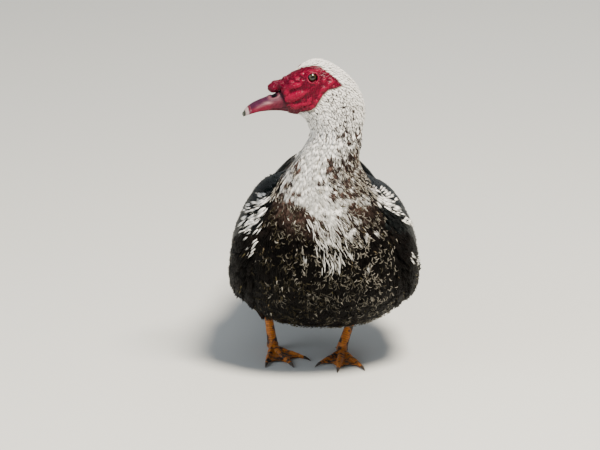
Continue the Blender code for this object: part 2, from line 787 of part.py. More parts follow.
def make_wing(side, name):
    rise = RIGHT_WING_RISE[0] if side < 0 else 0.0
    pieces = [wing_base(rise), *feather_rows(random.Random(SEED), rise), *primaries(rise)]
    if side < 0:
        for piece in pieces:
            piece.data.transform(Matrix.Scale(-1, 4, (1, 0, 0)))
            piece.data.flip_normals()
    wing = fused(name, pieces, material("wing_feathers", BLACK, 0.4))
    combine(wing, [body_cutter()], "DIFFERENCE")
    keep_largest(wing)


# Tail

TAIL_FEATHERS = 12
TAIL_ROOT = (0.208, 0.133)
TAIL_TIP = (0.368, 0.128)


def tail_core():
    """The tail's root: a wedge that flattens from the rump's ring into the feathers."""
    angles = np.linspace(0, 2 * math.pi, 20, endpoint=False)
    rings = []
    first = ring_points(0.0, angles)
    normal = ring_normal(0.0)
    centre = first.mean(0)
    for share in (0.0, 0.35, 0.7, 1.0):
        y = first[:, 1] - GAP - share * 0.060
        ring = centre + (first - centre) * np.array((1 + 0.25 * share, 1, 1 - 0.78 * share))
        ring[:, 2] -= 0.004 * share
        ring = ring - normal * (GAP + share * 0.060)
        rings.append(ring)
    return loft("tail_core", rings)


def make_tail():
    source = random.Random(SEED + 1)
    pieces = [tail_core()]
    half_count = TAIL_FEATHERS // 2
    for side in (1, -1):
        for i in range(half_count):
            spread = (i + 0.5) / half_count
            root = (side * 0.024 * spread, TAIL_ROOT[0] + 0.010, TAIL_ROOT[1] - 0.0006 * i)
            length = (TAIL_TIP[0] - TAIL_ROOT[0]) * (1 - 0.20 * spread**2) * source.uniform(0.985, 1.0)
            angle = math.radians(19) * spread
            out, back = side * length * math.sin(angle), length * math.cos(angle)
            tip = (root[0] + out, root[1] + back, TAIL_TIP[1] - 0.0016 * i)
            roll = math.radians(9) * side
            pieces.append(free_vane(f"tail_feather_{side}_{i}", root, tip, 0.027, 0.002, -roll, (0, 0, 1), 3))
    for side in (1, -1):
        for i in range(2):
            root = (side * (0.006 + 0.013 * i), 0.216, 0.1475 - 0.002 * i)
            tip = (side * (0.010 + 0.020 * i), 0.272 - 0.006 * i, 0.1415 - 0.0015 * i)
            pieces.append(free_vane(f"covert_above_{side}_{i}", root, tip, 0.024, 0.001, 0, (0, 0, 1), 2))
            root = (side * (0.006 + 0.013 * i), 0.216, 0.1190)
            tip = (side * (0.010 + 0.018 * i), 0.286 - 0.008 * i, 0.1185)
            pieces.append(free_vane(f"covert_below_{side}_{i}", root, tip, 0.024, 0.001, 0, (0, 0, 1), 2))
    fused("tail", pieces, material("wing_feathers", BLACK, 0.4))


# Legs and feet

LEG_PLACES = {
    # hock x, y, z; heel x, y; direction of the middle toe in degrees from forward to the bird's left
    "right": ((-0.070, 0.018, 0.060), (-0.062, 0.010), 18.0),
    "left": ((0.040, 0.006, 0.060), (0.022, -0.008), -4.0),
}
HEEL_HEIGHT = 0.012
TARSUS_RADIUS = 0.0052
HOCK_RADIUS = 0.0078
TOES = (
    # length, angle outwards in degrees, radius at the root
    ("inner", 0.056, -25.0, 0.0040),
    ("middle", 0.071, 0.0, 0.0046),
    ("outer", 0.067, 24.0, 0.0042),
)
HIND_TOE = (0.019, 158.0, 0.0030)
CLAW_LENGTH = 0.011
Z_AXIS = np.array((0.0, 0.0, 1.0))
WEB_THICK = 0.0014
WEB_LOW = 0.0014


def tube(name, centres, radii, around=10, finish=None):
    """A round solid along a path, with rings square to it."""
    rings = []
    centres = [np.asarray(c, float) for c in centres]
    for i, (centre, radius) in enumerate(zip(centres, radii)):
        along = centres[min(i + 1, len(centres) - 1)] - centres[max(i - 1, 0)]
        along /= np.linalg.norm(along)
        side = np.cross(along, (0.0, 1.0, 0.0) if abs(along[1]) < 0.9 else (1.0, 0.0, 0.0))
        side /= np.linalg.norm(side)
        over = np.cross(side, along)
        turns = np.linspace(0, 2 * math.pi, around, endpoint=False)
        ring = [centre + (side * math.cos(a) + over * math.sin(a)) * radius for a in turns]
        rings.append(ring)
    return loft(name, rings, finish)


def toe_direction(heading, angle, outward):
    """The direction of one toe over the floor."""
    turn = math.radians(heading) - outward * math.radians(angle)
    return np.array((math.sin(turn), -math.cos(turn), 0.0))


def make_foot(side_name):
    """One webbed foot: three front toes, the web between them, and the hind toe, flat underneath."""
    hock, heel, heading = LEG_PLACES[side_name]
    outward = -1 if side_name == "left" else 1
    skin = material("leg_skin", LEG, 0.55)
    claw = material("claw", HORN, 0.4)
    heel_point = np.array((heel[0], heel[1], 0.0))
    pieces, ends = [], {}
    for toe_name, length, angle, radius in TOES:
        direction = toe_direction(heading, angle, outward)
        shares = (-0.04, 0.14, 0.32, 0.47, 0.60, 0.80, 1.0)
        swell = (1.15, 1.02, 1.15, 0.90, 1.06, 0.90, 0.62)
        heights = [radius * 0.62 + 0.0045 * max(0, 0.3 - s) for s in shares]
        centres = [heel_point + direction * length * s + Z_AXIS * h for s, h in zip(shares, heights)]
        radii = [radius * w * (1 - 0.25 * max(0, s)) for s, w in zip(shares, swell)]
        pieces.append(tube(f"toe_{toe_name}", centres, radii, 7))
        ends[toe_name] = (heel_point + direction * length, direction, radius)
    direction = toe_direction(heading, HIND_TOE[1], -outward)
    hind_shares = (-0.1, 0.35, 0.7, 1.0)
    centres = [heel_point + direction * HIND_TOE[0] * s + Z_AXIS * (0.006 - 0.0035 * max(s, 0)) for s in hind_shares]
    pieces.append(tube("toe_hind", centres, [HIND_TOE[2] * w for w in (1.1, 1.0, 0.95, 0.6)], 7))
    ends["hind"] = (heel_point + direction * HIND_TOE[0], direction, HIND_TOE[2])
    pieces.append(ball("heel", heel_point + Z_AXIS * 0.007, (0.0075, 0.0085, 0.0070), None, 8, 5))
    tops, bottoms = [], []
    for share in (0.06, 0.35, 0.65, 0.90):
        row = []
        for (first, second) in (("inner", "middle"), ("middle", "outer")):
            a, b = ends[first][0] - heel_point, ends[second][0] - heel_point
            steps = (0, 0.5) if first == "inner" else (0, 0.5, 1)
            for step in steps:
                dip = 1 - 0.16 * math.sin(math.pi * step) * share
                row.append(heel_point + (a * (1 - step) + b * step) * share * dip)
        row = np.array(row)
        tops.append(row + Z_AXIS * (WEB_LOW + WEB_THICK + 0.002 * (1 - share)))
        bottoms.append(row + Z_AXIS * WEB_LOW)
    pieces.append(plate("web", np.array(tops), np.array(bottoms)))
    for piece in pieces:
        for vert in piece.data.vertices:
            vert.co.z = max(vert.co.z, 0.0)
    foot = fused(f"foot_{side_name}", pieces, skin)
    for toe_name, (end, direction, radius) in ends.items():
        rise = 0.0026 if toe_name != "hind" else 0.0025
        start = end + direction * (GAP + 0.0002) + Z_AXIS * rise
        shares = (0.0, 0.5, 1.0)
        long = CLAW_LENGTH if toe_name != "hind" else 0.7 * CLAW_LENGTH
        centres = [start + direction * long * s - Z_AXIS * rise * s * s * 0.75 for s in shares]
        radii = [radius * 0.50 * (1 - 0.8 * s) for s in shares]
        tube(f"claw_{side_name}_{toe_name}", centres, radii, 5, claw)
    return foot


def make_leg(side_name):
    """The scaled shank of one leg from the hock down to the foot."""
    hock, heel, _ = LEG_PLACES[side_name]
    top, bottom = np.array(hock), np.array((heel[0], heel[1], HEEL_HEIGHT - 0.003))
    shares = (-0.16, -0.04, 0.08, 0.22, 0.5, 0.8, 1.0)
    radii = [HOCK_RADIUS * swell for swell in (0.8, 1.0, 0.95)]
    radii += [TARSUS_RADIUS * swell for swell in (1.1, 1.0, 1.1, 1.25)]
    centres = [top + (bottom - top) * s for s in shares]
    return tube(f"shank_{side_name}", centres, radii, 12, material("leg_skin", LEG, 0.55))


def make_thigh(side_name):
    """The feathered end of the thigh, from the belly down to the hock."""
    hock = np.array(LEG_PLACES[side_name][0])
    top = np.array((hock[0] * 0.9, hock[1] + 0.006, 0.104))
    heights = (0.080, 0.070, 0.060, 0.052, 0.046, 0.043)
    radii = (0.016, 0.020, 0.021, 0.0170, 0.0125, 0.0085)
    foot_place = np.array((*LEG_PLACES[side_name][1], HEEL_HEIGHT))
    centres = []
    for height in heights:
        if height > hock[2]:
            centres.append(hock + (top - hock) * (height - hock[2]) / (top[2] - hock[2]))
        else:
            centres.append(hock + (foot_place - hock) * (hock[2] - height) / (hock[2] - foot_place[2]))
    return tube(f"thigh_{side_name}", centres, radii, 16, material("breast_feathers", BROWN, 0.7))


def make_legs():
    for side_name in ("right", "left"):
        foot = make_foot(side_name)
        shank = make_leg(side_name)
        thigh = make_thigh(side_name)
        combine(thigh, [body_cutter()], "DIFFERENCE")
        keep_largest(thigh)
        grown_thigh = grown_copy(thigh, GAP)
        combine(shank, [grown_thigh], "DIFFERENCE")
        keep_largest(shank)
        grown_foot = grown_copy(foot, GAP)
        combine(shank, [grown_foot], "DIFFERENCE")
        keep_largest(shank)


def grown_copy(source, by):
    """A copy of a closed mesh moved outwards along its point normals."""
    made = source.copy()
    made.data = source.data.copy()
    bpy.context.scene.collection.objects.link(made)
    shape = bmesh.new()
    shape.from_mesh(made.data)
    shape.normal_update()
    for vert in shape.verts:
        vert.co += vert.normal * by * 1.3
    shape.to_mesh(made.data)
    shape.free()
    return made


def centre_on_floor():
    """Moves every node so that the origin is under the middle of the bird's box."""
    parts = [part for part in bpy.context.scene.objects if part.type == "MESH"]
    points = np.array([vert.co for part in parts for vert in part.data.vertices])
    low, high = points.min(0), points.max(0)
    shift = Vector((-(low[0] + high[0]) / 2, -(low[1] + high[1]) / 2, -low[2]))
    for part in bpy.context.scene.objects:
        if part.type == "MESH":
            part.data.transform(Matrix.Translation(shift))


def main():
    for old in list(bpy.data.objects):
        bpy.data.objects.remove(old)
    make_torso()
    make_neck()
    make_head()
    make_bill()
    make_wing(1, "wing_left")
    make_wing(-1, "wing_right")
    make_tail()
    make_legs()
    centre_on_floor()


main()
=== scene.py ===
# %% [markdown]
# # A standing muscovy drake, life size
#
# A heavy perching duck: a deep dark body with pale flecks, a white neck, black glossy wings with
# white patches, and a crimson lobed face. It is made in the frame of its CAD solids. One skin takes
# the place of the flesh, a coat of separate feathers lies on it, and the eyes, claws and bill are
# pieces of their own.

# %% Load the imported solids
import json
import random
from math import cos, hypot, pi, radians, sin

import bmesh
import bpy
import numpy as np
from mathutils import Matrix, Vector, noise

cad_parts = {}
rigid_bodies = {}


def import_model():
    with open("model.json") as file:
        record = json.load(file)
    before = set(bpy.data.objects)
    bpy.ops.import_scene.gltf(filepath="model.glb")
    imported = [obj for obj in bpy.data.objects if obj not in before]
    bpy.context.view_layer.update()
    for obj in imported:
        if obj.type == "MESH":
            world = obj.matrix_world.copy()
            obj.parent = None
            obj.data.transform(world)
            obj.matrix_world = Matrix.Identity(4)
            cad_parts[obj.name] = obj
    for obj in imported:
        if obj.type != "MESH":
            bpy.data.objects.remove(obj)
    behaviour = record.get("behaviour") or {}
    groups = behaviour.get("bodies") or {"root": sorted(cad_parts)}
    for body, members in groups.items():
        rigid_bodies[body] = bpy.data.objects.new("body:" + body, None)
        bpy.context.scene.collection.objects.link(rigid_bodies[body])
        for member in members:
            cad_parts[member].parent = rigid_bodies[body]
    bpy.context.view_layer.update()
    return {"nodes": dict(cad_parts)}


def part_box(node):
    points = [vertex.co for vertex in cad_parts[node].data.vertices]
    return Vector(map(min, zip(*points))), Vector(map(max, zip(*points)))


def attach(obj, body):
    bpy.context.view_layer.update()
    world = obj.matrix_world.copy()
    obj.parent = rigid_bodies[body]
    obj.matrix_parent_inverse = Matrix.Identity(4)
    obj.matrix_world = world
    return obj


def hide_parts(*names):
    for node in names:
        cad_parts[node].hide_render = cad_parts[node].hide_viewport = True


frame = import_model()

# %% [markdown]
# ## Colours and nodes
#
# Colours are written as they look on a screen, in sRGB hex, and turned to the linear values that
# light works in. One helper adds any node with its settings and links, so every material and
# geometry tree reads the same way.

# %% Colour and node helpers
def linear(hexcode):
    """An sRGB hex colour as linear red, green, blue and alpha."""
    channels = [int(hexcode[i : i + 2], 16) / 255 for i in (1, 3, 5)]
    return tuple(c / 12.92 if c <= 0.04045 else ((c + 0.055) / 1.055) ** 2.4 for c in channels) + (1.0,)


def add(tree, kind, inputs=None, **settings):
    """Adds a node; inputs are its sockets by name or number, each a value, a socket or a node to read."""
    made = tree.nodes.new(kind if kind.startswith(("Geometry", "Function", "Node")) else "ShaderNode" + kind)
    for key, value in settings.items():
        setattr(made, key, value)
    for key, value in (inputs or {}).items():
        if isinstance(value, bpy.types.Node):
            value = next(socket for socket in value.outputs if socket.enabled)
        if isinstance(value, bpy.types.NodeSocket):
            tree.links.new(value, made.inputs[key])
        else:
            made.inputs[key].default_value = value
    return made


def new_material(name):
    """An empty node material, its tree and the place on the piece that its patterns read."""
    made = bpy.data.materials.new(name)
    made.use_nodes = True
    made.node_tree.nodes.clear()
    return made, made.node_tree, add(made.node_tree, "TexCoord").outputs["Object"]


# %% [markdown]
# ## Camera, floor and light
#
# The bird was seen from the front with a long lens, from a little above. A camera far away with a
# long focal length keeps the near head and the far tail in the right proportion. The floor is plain
# and pale, and two big soft lamps stand in for open shade with a bright sky.

# %% Camera
VIEW_DISTANCE = 8.0
VIEW_HEIGHT_ANGLE = radians(15)
VIEW_RISE, VIEW_LEVEL = sin(VIEW_HEIGHT_ANGLE), cos(VIEW_HEIGHT_ANGLE)
MM_PER_PIXEL = 1.2
FRAME_PIXELS = (600, 450)
TOE_PIXEL = (324, 366)
TOE_PLACE = (0.0, -0.060, 0.0)
SENSOR = 36.0


# %% [markdown]
# ## The shape of the bird
#
# The torso, neck and head are one tube. Each row of the tables gives one ring: the back line, the
# belly line, the half width, where the ring is widest and how square it is. A smooth curve through
# the rows gives any ring between them. The bird is first shaped looking straight ahead, and the
# neck then turns about an upright axis, so the head looks to the bird's right.

# %% Tables of the body
NECK_AXIS_Y = -0.108
HEAD_TURN = radians(78)
NECK_LEAN_X = 0.016
TURN_FROM, TURN_TO = 7.4, 12.0
LEAN_FROM, LEAN_TO = 9.3, 12.3
EYE_Y, EYE_Z = -0.143, 0.3745
HEAD_UNIT = 0.00096
BODY_ROWS = (
    # back line y and z, belly line y and z, half width, where the ring is widest, how square it is
    (0.215, 0.152, 0.212, 0.114, 0.030, 0.50, 2.2),
    (0.186, 0.170, 0.180, 0.091, 0.050, 0.46, 2.2),
    (0.136, 0.189, 0.128, 0.068, 0.073, 0.42, 2.3),
    (0.080, 0.204, 0.072, 0.053, 0.090, 0.38, 2.35),
    (0.025, 0.216, 0.010, 0.045, 0.100, 0.36, 2.35),
    (-0.020, 0.224, -0.055, 0.047, 0.102, 0.37, 2.35),
    (-0.050, 0.231, -0.112, 0.073, 0.097, 0.40, 2.25),
    (-0.066, 0.240, -0.149, 0.121, 0.084, 0.44, 2.15),
    (-0.072, 0.251, -0.160, 0.168, 0.067, 0.48, 2.1),
    (-0.075, 0.263, -0.159, 0.208, 0.055, 0.50, 2.0),
    (-0.075, 0.277, -0.154, 0.245, 0.046, 0.50, 2.0),
    (-0.074, 0.291, -0.146, 0.276, 0.038, 0.50, 2.0),
)
HEAD_ROWS = (
    # the same in head units: crown forward and up of the eye, throat forward and up, and so on
    (-66.5, -75, -3.5, -76, 31.0, 0.50, 2.0),
    (-69.5, -60, -0.5, -67, 30.0, 0.50, 2.0),
    (-70.0, -45, 3.0, -60, 29.0, 0.50, 2.1),
    (-66.0, -29, 6.0, -55, 28.5, 0.50, 2.2),
    (-56.0, -11.5, 9.0, -52, 28.0, 0.50, 2.3),
    (-42.0, 2.5, 12.0, -50.5, 27.5, 0.50, 2.3),
    (-26.0, 13, 14.5, -50, 26.5, 0.52, 2.35),
    (-10.0, 17.5, 17.0, -49.5, 25.0, 0.55, 2.4),
    (4.0, 13.0, 19.0, -49.2, 23.0, 0.55, 2.4),
    (15.0, 5.0, 21.0, -49, 20.5, 0.52, 2.4),
    (26.0, -1.5, 22.5, -48.5, 18.0, 0.50, 2.3),
    (39.0, -12.0, 26.5, -47.5, 15.0, 0.48, 2.2),
)
FACE_EDGE = (
    # the bare skin's edge, forward and up of the eye
    (60, 10), (24, 12), (15, 14), (9, 17), (1, 18), (-5, 17), (-10, 13.0), (-15, 9.0), (-24, 2.0), (-31, -4),
    (-37, -11.5), (-30, -13.5), (-19, -15), (-12, -21), (-7, -29), (-3, -36.5), (3, -41.5), (9, -43.3),
    (14.8, -44.8), (18, -56), (21.5, -56), (33.6, -17.2), (44, -21.5), (54, -25.6), (60, -27.9),
)
NECK_ROOT, JAW = 7.6, 12.3


def head_row_in_metres(row):
    crown_f, crown_u, throat_f, throat_u, half, widest, square = row
    return (
        EYE_Y - crown_f * HEAD_UNIT, EYE_Z + crown_u * HEAD_UNIT, EYE_Y - throat_f * HEAD_UNIT,
        EYE_Z + throat_u * HEAD_UNIT, half * HEAD_UNIT, widest, square,
    )


PROFILE = np.array([*BODY_ROWS, *map(head_row_in_metres, HEAD_ROWS)])
LAST_ROW = len(PROFILE) - 1


# %% Rings, points and normals of the body
def between_rows(table, at):
    """Smooth values between the rows of a table, by a Catmull-Rom curve."""
    at = np.clip(np.asarray(at, float), 0, len(table) - 1 - 1e-9)
    padded = np.concatenate([2 * table[:1] - table[1:2], table, 2 * table[-1:] - table[-2:-1]])
    i = at.astype(int)
    t = (at - i)[..., None]
    p0, p1, p2, p3 = (padded[i + k] for k in range(4))
    return 0.5 * (2 * p1 + (p2 - p0) * t + (2 * p0 - 5 * p1 + 4 * p2 - p3) * t**2 + (3 * p1 - p0 - 3 * p2 + p3) * t**3)


def smooth(value):
    value = np.clip(value, 0, 1)
    return value * value * (3 - 2 * value)


def unit(vectors_given, least=0.0):
    return vectors_given / (np.linalg.norm(vectors_given, axis=-1, keepdims=True) + least)


def toward(first, second, share):
    return first * (1 - share) + second * share


def turn_neck(points, rows):
    """Turns and leans points of the straight bird by how far up the neck their row is."""
    share = smooth((rows - TURN_FROM) / (TURN_TO - TURN_FROM))
    lean = NECK_LEAN_X * smooth((rows - LEAN_FROM) / (LEAN_TO - LEAN_FROM))
    x, y, z = points[..., 0], points[..., 1] - NECK_AXIS_Y, points[..., 2]
    c, s = np.cos(-HEAD_TURN * share), np.sin(-HEAD_TURN * share)
    return np.stack([x * c - y * s + lean, x * s + y * c + NECK_AXIS_Y, z], -1)


def straight_point(rows, angles):
    """Points of the rings of the bird that looks ahead; angles run from the back line to its left."""
    rows, angles = np.broadcast_arrays(np.asarray(rows, float), np.asarray(angles, float))
    back_y, back_z, belly_y, belly_z, half, widest, square = np.moveaxis(between_rows(PROFILE, rows), -1, 0)
    height = np.hypot(back_y - belly_y, back_z - belly_z)
    c, s = np.cos(angles), np.sin(angles)
    across = half * np.sign(s) * np.abs(s) ** (2 / square)
    reach = np.where(c > 0, height * (1 - widest), height * widest)
    along = height * widest + reach * np.sign(c) * np.abs(c) ** (2 / square)
    y = belly_y + (back_y - belly_y) * along / height
    z = belly_z + (back_z - belly_z) * along / height
    return np.stack([across, y, z], -1)


def body_at(rows, angles):
    return turn_neck(straight_point(rows, angles), np.asarray(rows, float))


def body_frame(rows, angles):
    """Points on the body with their outward normals and the direction that feathers lie, tailwards."""
    step = 0.03
    here = body_at(rows, angles)
    ahead, behind = body_at(rows + step, angles), body_at(rows - step, angles)
    left, right = body_at(rows, angles + step), body_at(rows, angles - step)
    normal = unit(np.cross(left - right, ahead - behind), 1e-12)
    centre = body_at(rows, np.zeros_like(rows)) * 0.5 + body_at(rows, np.full_like(rows, pi)) * 0.5
    normal *= np.sign(np.sum(normal * (here - centre), -1, keepdims=True))
    lie = behind - ahead
    return here, normal, unit(lie - normal * np.sum(lie * normal, -1, keepdims=True), 1e-12)


def side_angle(angles):
    """Degrees from the back line, alike on both sides."""
    return np.degrees(np.abs((angles + pi) % (2 * pi) - pi))


def head_place(forward, left, up):
    """A point from head units forward, left and up of the eye."""
    spot = np.array((left * HEAD_UNIT, EYE_Y - forward * HEAD_UNIT, EYE_Z + up * HEAD_UNIT))
    return turn_neck(spot, np.array(float(LAST_ROW)))


ORIGIN = head_place(0, 0, 0)
HEAD_AXES = np.array([(head_place(*step) - ORIGIN) / HEAD_UNIT for step in ((1, 0, 0), (0, 1, 0), (0, 0, 1))])

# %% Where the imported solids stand
torso_rows, torso_angles = np.linspace(0, NECK_ROOT, 20), np.linspace(0, 2 * pi, 28, endpoint=False)
torso_grid = body_at(*np.meshgrid(torso_rows, torso_angles, indexing="ij")).reshape(-1, 3)
torso_low, torso_high = (np.array(corner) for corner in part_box("torso"))
SHIFT = np.array((
    (torso_low[0] + torso_high[0]) / 2, torso_high[1] - torso_grid[:, 1].max(), torso_low[2] - torso_grid[:, 2].min(),
))
print("shift of the solids from the tables, mm:", np.round(SHIFT * 1000, 2))


def shifted(points):
    return np.asarray(points, float) + SHIFT


def in_scene(name, data):
    """A new object in the scene."""
    made = bpy.data.objects.new(name, data)
    bpy.context.scene.collection.objects.link(made)
    return made


# %% Place the camera
view_up, view_ahead = np.array((0.0, VIEW_RISE, VIEW_LEVEL)), np.array((0.0, VIEW_LEVEL, -VIEW_RISE))
to_right, to_top = FRAME_PIXELS[0] / 2 - TOE_PIXEL[0], TOE_PIXEL[1] - FRAME_PIXELS[1] / 2
view_target = shifted(TOE_PLACE) + (to_right * np.array((1.0, 0.0, 0.0)) + to_top * view_up) * MM_PER_PIXEL * 0.001
camera_data = bpy.data.cameras.new("long_lens")
camera_data.sensor_width = SENSOR
camera_data.lens = SENSOR * VIEW_DISTANCE / (FRAME_PIXELS[0] * MM_PER_PIXEL * 0.001)
camera_data.clip_end = 60
camera = in_scene("long_lens", camera_data)
camera.location = Vector(view_target - view_ahead * VIEW_DISTANCE)
camera.rotation_euler = Vector(view_ahead).to_track_quat("-Z", "Y").to_euler()
bpy.context.scene.camera = camera
print("lens", round(camera_data.lens), "mm at", VIEW_DISTANCE, "m")

# %% Floor, sky and lamps
LAMPS = (
    # name, place, size, power, colour
    ("key_lamp", (0.7, -1.3, 2.7), 0.9, 256, "#fff4e4"),
    ("fill_lamp", (-1.9, -1.2, 1.1), 1.8, 20, "#e9f1ff"),
    ("back_lamp", (0.8, 2.0, 1.8), 1.2, 14, "#f4f7ff"),
)
LAMP_TARGET = Vector((0, 0, 0.2))
for name, place, size, power, colour in LAMPS:
    lamp_data = bpy.data.lights.new(name, "AREA")
    lamp_data.shape, lamp_data.size, lamp_data.energy = "DISK", size, power
    lamp_data.color = linear(colour)[:3]
    lamp = in_scene(name, lamp_data)
    lamp.location = place
    lamp.rotation_euler = (LAMP_TARGET - Vector(place)).to_track_quat("-Z", "Y").to_euler()
sky = bpy.data.worlds.new("open_sky")
sky.use_nodes = True
sky.node_tree.nodes["Background"].inputs["Color"].default_value = linear("#dfe6ec")
sky.node_tree.nodes["Background"].inputs["Strength"].default_value = 0.45
bpy.context.scene.world = sky


def mesh_piece(name, points, faces, finish):
    """A piece whose place is in its mesh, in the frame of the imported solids."""
    mesh = bpy.data.meshes.new(name)
    mesh.from_pydata(np.asarray(points, float).tolist(), [], [list(map(int, f)) for f in faces])
    mesh.update()
    mesh.shade_smooth()
    mesh.materials.append(finish)
    return in_scene(name, mesh)


def face_outward(mesh):
    """Turns the faces of a closed mesh outward."""
    shape = bmesh.new()
    shape.from_mesh(mesh)
    bmesh.ops.recalc_face_normals(shape, faces=shape.faces)
    if shape.calc_volume(signed=True) < 0:
        bmesh.ops.reverse_faces(shape, faces=shape.faces)
    shape.to_mesh(mesh)
    shape.free()


def grid_faces(rings, around):
    """Faces between closed rings of points."""
    return [
        (i * around + j, i * around + (j + 1) % around, (i + 1) * around + (j + 1) % around, (i + 1) * around + j)
        for i in range(rings - 1) for j in range(around)
    ]


def with_ends(values):
    """Values of each point of a grid of rings, and of the two points that close its ends."""
    flat = values.reshape(values.shape[0] * values.shape[1], -1)
    return np.concatenate([flat, flat[:1], flat[-1:]]).squeeze()


def closed_tube(name, rings, finish):
    """A closed piece through rings of points."""
    count, around = rings.shape[:2]
    faces = grid_faces(count, around)
    last, end = (count - 1) * around, count * around
    faces += [((j + 1) % around, j, end) for j in range(around)]
    faces += [(last + j, last + (j + 1) % around, end + 1) for j in range(around)]
    points = np.concatenate([rings.reshape(-1, 3), rings[:1].mean(1), rings[-1:].mean(1)])
    made = mesh_piece(name, shifted(points), faces, finish)
    face_outward(made.data)
    return made


def store(mesh, name, kind, values):
    """Keeps an array on a mesh as an attribute of its points."""
    key = {"FLOAT_VECTOR": "vector", "FLOAT_COLOR": "color", "FLOAT": "value"}[kind]
    values = np.asarray(values, np.float32)
    if kind == "FLOAT_COLOR" and values.shape[-1] == 3:
        values = np.concatenate([values, np.ones((len(values), 1), np.float32)], 1)
    mesh.attributes.new(name, kind, "POINT").data.foreach_set(key, values.ravel())


floor_paint, tree, _ = new_material("matt_floor_paint")
shader = add(tree, "BsdfPrincipled", {"Base Color": linear("#d3d4cf"), "Roughness": 0.9})
add(tree, "OutputMaterial", {"Surface": shader})
floor = mesh_piece("floor", [(-12, -12, 0), (12, -12, 0), (12, 12, 0), (-12, 12, 0)], [(0, 1, 2, 3)], floor_paint)

# %% [markdown]
# ## Where the colours lie
#
# The bird is a pied one. Its markings are drawn by rule, so that the skin and every feather can ask
# for the colour of its own place. Breast marks are placed on the front of the bird, in millimetres
# across and up as seen from the front. Neck and head marks follow the ring: the nape is brown and
# flecked, the throat white, the cheeks pale with small dark flecks, and the crown white.

# %% Markings by rule
WHITE_STRIPE = np.array(
    # height up the front, left and right edges of the white breast, outer edge of its flecked border
    (
        (133, 4, 4, 4), (141, 0, 8, 8), (149, -3, 11, 11),
        (157, -6, 13, 13), (165, -10, 14, 15), (172, -15, 15, 18), (179, -21, 20, 24), (187, -26, 27, 31),
        (195, -52, 36, 36), (203, -58, 15, 24), (211, -56, 24, 28), (217, -52, 12, 27), (227, -50, 3, 28),
        (238, -60, 5, 30), (251, -60, 12, 32), (259, -60, 24, 36), (271, -60, 14, 32), (285, -60, 22, 36),
    ),
    float,
)
WHITE_TUFTS = (
    # across, up, half width, half height, lean, strength
    (49, 195, 9, 6, 0, 0.95), (41, 170, 5, 4, 0, 0.9), (34, 152, 4, 12, -25, 0.95), (43, 139, 13, 4, 10, 0.7),
    (51, 148, 3, 9, 0, 0.9), (67, 157, 3, 5, 0, 0.8), (57, 110, 4, 5, 0, 0.6), (30, 128, 9, 4, -20, 0.5),
    (-20, 118, 8, 6, 20, 0.3), (24, 178, 9, 8, 0, 0.9),
)
DARK_SPOTS = (
    (-36, 233, 4, 9, 0, 0.75), (-43, 214, 4, 5, 0, 0.85), (-34, 203, 5, 5, 0, 0.7), (-52, 202, 4, 5, 0, 0.6),
    (-4, 212, 4, 3, 0, 0.8), (15, 203, 5, 6, 0, 0.8), (26, 165, 5, 7, 0, 0.8), (-38, 190, 9, 4, 0, 0.4),
    (1, 163, 3, 6, 0, 0.5),
)
WING_LINE = (
    # height up the front, where the breast meets the wing on the bird's right and on its left
    (150, -84, 88), (156, -78, 82), (162, -77, 76), (169, -75, 74), (179, -68, 72), (187, -63, 65), (199, -56, 58),
    (206, -55, 53), (222, -47, 47), (241, -38, 44), (262, -60, 60),
)


def front_view(points):
    """Millimetres across and up the front of the bird, as the camera sees it."""
    up = (points[..., 2] * VIEW_LEVEL + (points[..., 1] - TOE_PLACE[1]) * VIEW_RISE) * 1000
    return points[..., 0] * 1000, up


def blot(across, up, spot):
    """How far inside an oval mark a place is: 1 in its middle, 0 outside."""
    x, z, half_x, half_z, lean, strength = spot
    c, s = cos(radians(lean)), sin(radians(lean))
    a, b = across - x, up - z
    away = np.hypot((a * c + b * s) / half_x, (-a * s + b * c) / half_z)
    return strength * smooth((1.35 - away) / 0.7)


def clouds(points, size, seed=0.0):
    """Soft noise between about 0 and 1 at each point; size is that of one cloud in metres."""
    start = Vector((seed, 0, 0))
    flat = [0.5 + 0.75 * noise.noise(Vector(p) / size + start) for p in points.reshape(-1, 3)]
    return np.array(flat).reshape(points.shape[:-1])


def whiteness(points, rows, angles):
    """The share of white feathers at each place of the body."""
    across, up = front_view(points)
    nape = side_angle(angles)
    _, normal, _ = body_frame(rows, angles)
    facing = smooth((normal[..., 2] * VIEW_RISE - normal[..., 1] * VIEW_LEVEL + 0.12) / 0.3)
    facing = facing * np.maximum(smooth((nape - 72) / 14), smooth((rows - 8.0) / 1.2))
    left, right, border = (np.interp(up, WHITE_STRIPE[:, 0], WHITE_STRIPE[:, column]) for column in (1, 2, 3))
    wander = (clouds(points, 0.010, 3.0) - 0.5) * 9
    inside = np.minimum(across - left, right - across) + wander * 0.6
    breast = smooth((inside + 2) / 5) * (up > 128)
    specked = 0.5 + 0.22 * smooth((up - 225) / 20)
    speckles = specked * smooth((np.minimum(across - left, border - across) + wander) / 4) * (up > 128)
    breast = np.maximum(np.maximum(breast, speckles), 0.22 * (up > 200))
    for spot in WHITE_TUFTS:
        breast = np.maximum(breast, blot(across + wander * 0.4, up, spot))
    for spot in DARK_SPOTS:
        breast = breast * (1 - blot(across + wander * 0.4, up, spot))
    breast = breast * facing
    least = 0.16 + 0.2 * smooth((rows - 9.5) / 1.5)
    neck = (least + (1 - least) * smooth((nape + wander * 1.5 - 78) / 26)) * (1 - facing) + breast * facing
    cheek = 1.0 - 0.05 * smooth((16.5 - rows) / 3.0) * smooth((118 - nape) / 40)
    crown = smooth((66 - nape) / 18) * smooth((rows - 13.2) / 1.6)
    head = np.maximum(cheek + 0.25 * smooth((rows - 16) / 3), crown)
    head = np.where(rows < 13.0, head * (0.90 + 0.10 * smooth((nape - 60) / 50)), head)
    return toward(toward(breast, neck, smooth((rows - 7.9) / 0.9)), head, smooth((rows - 10.0) / 1.7))


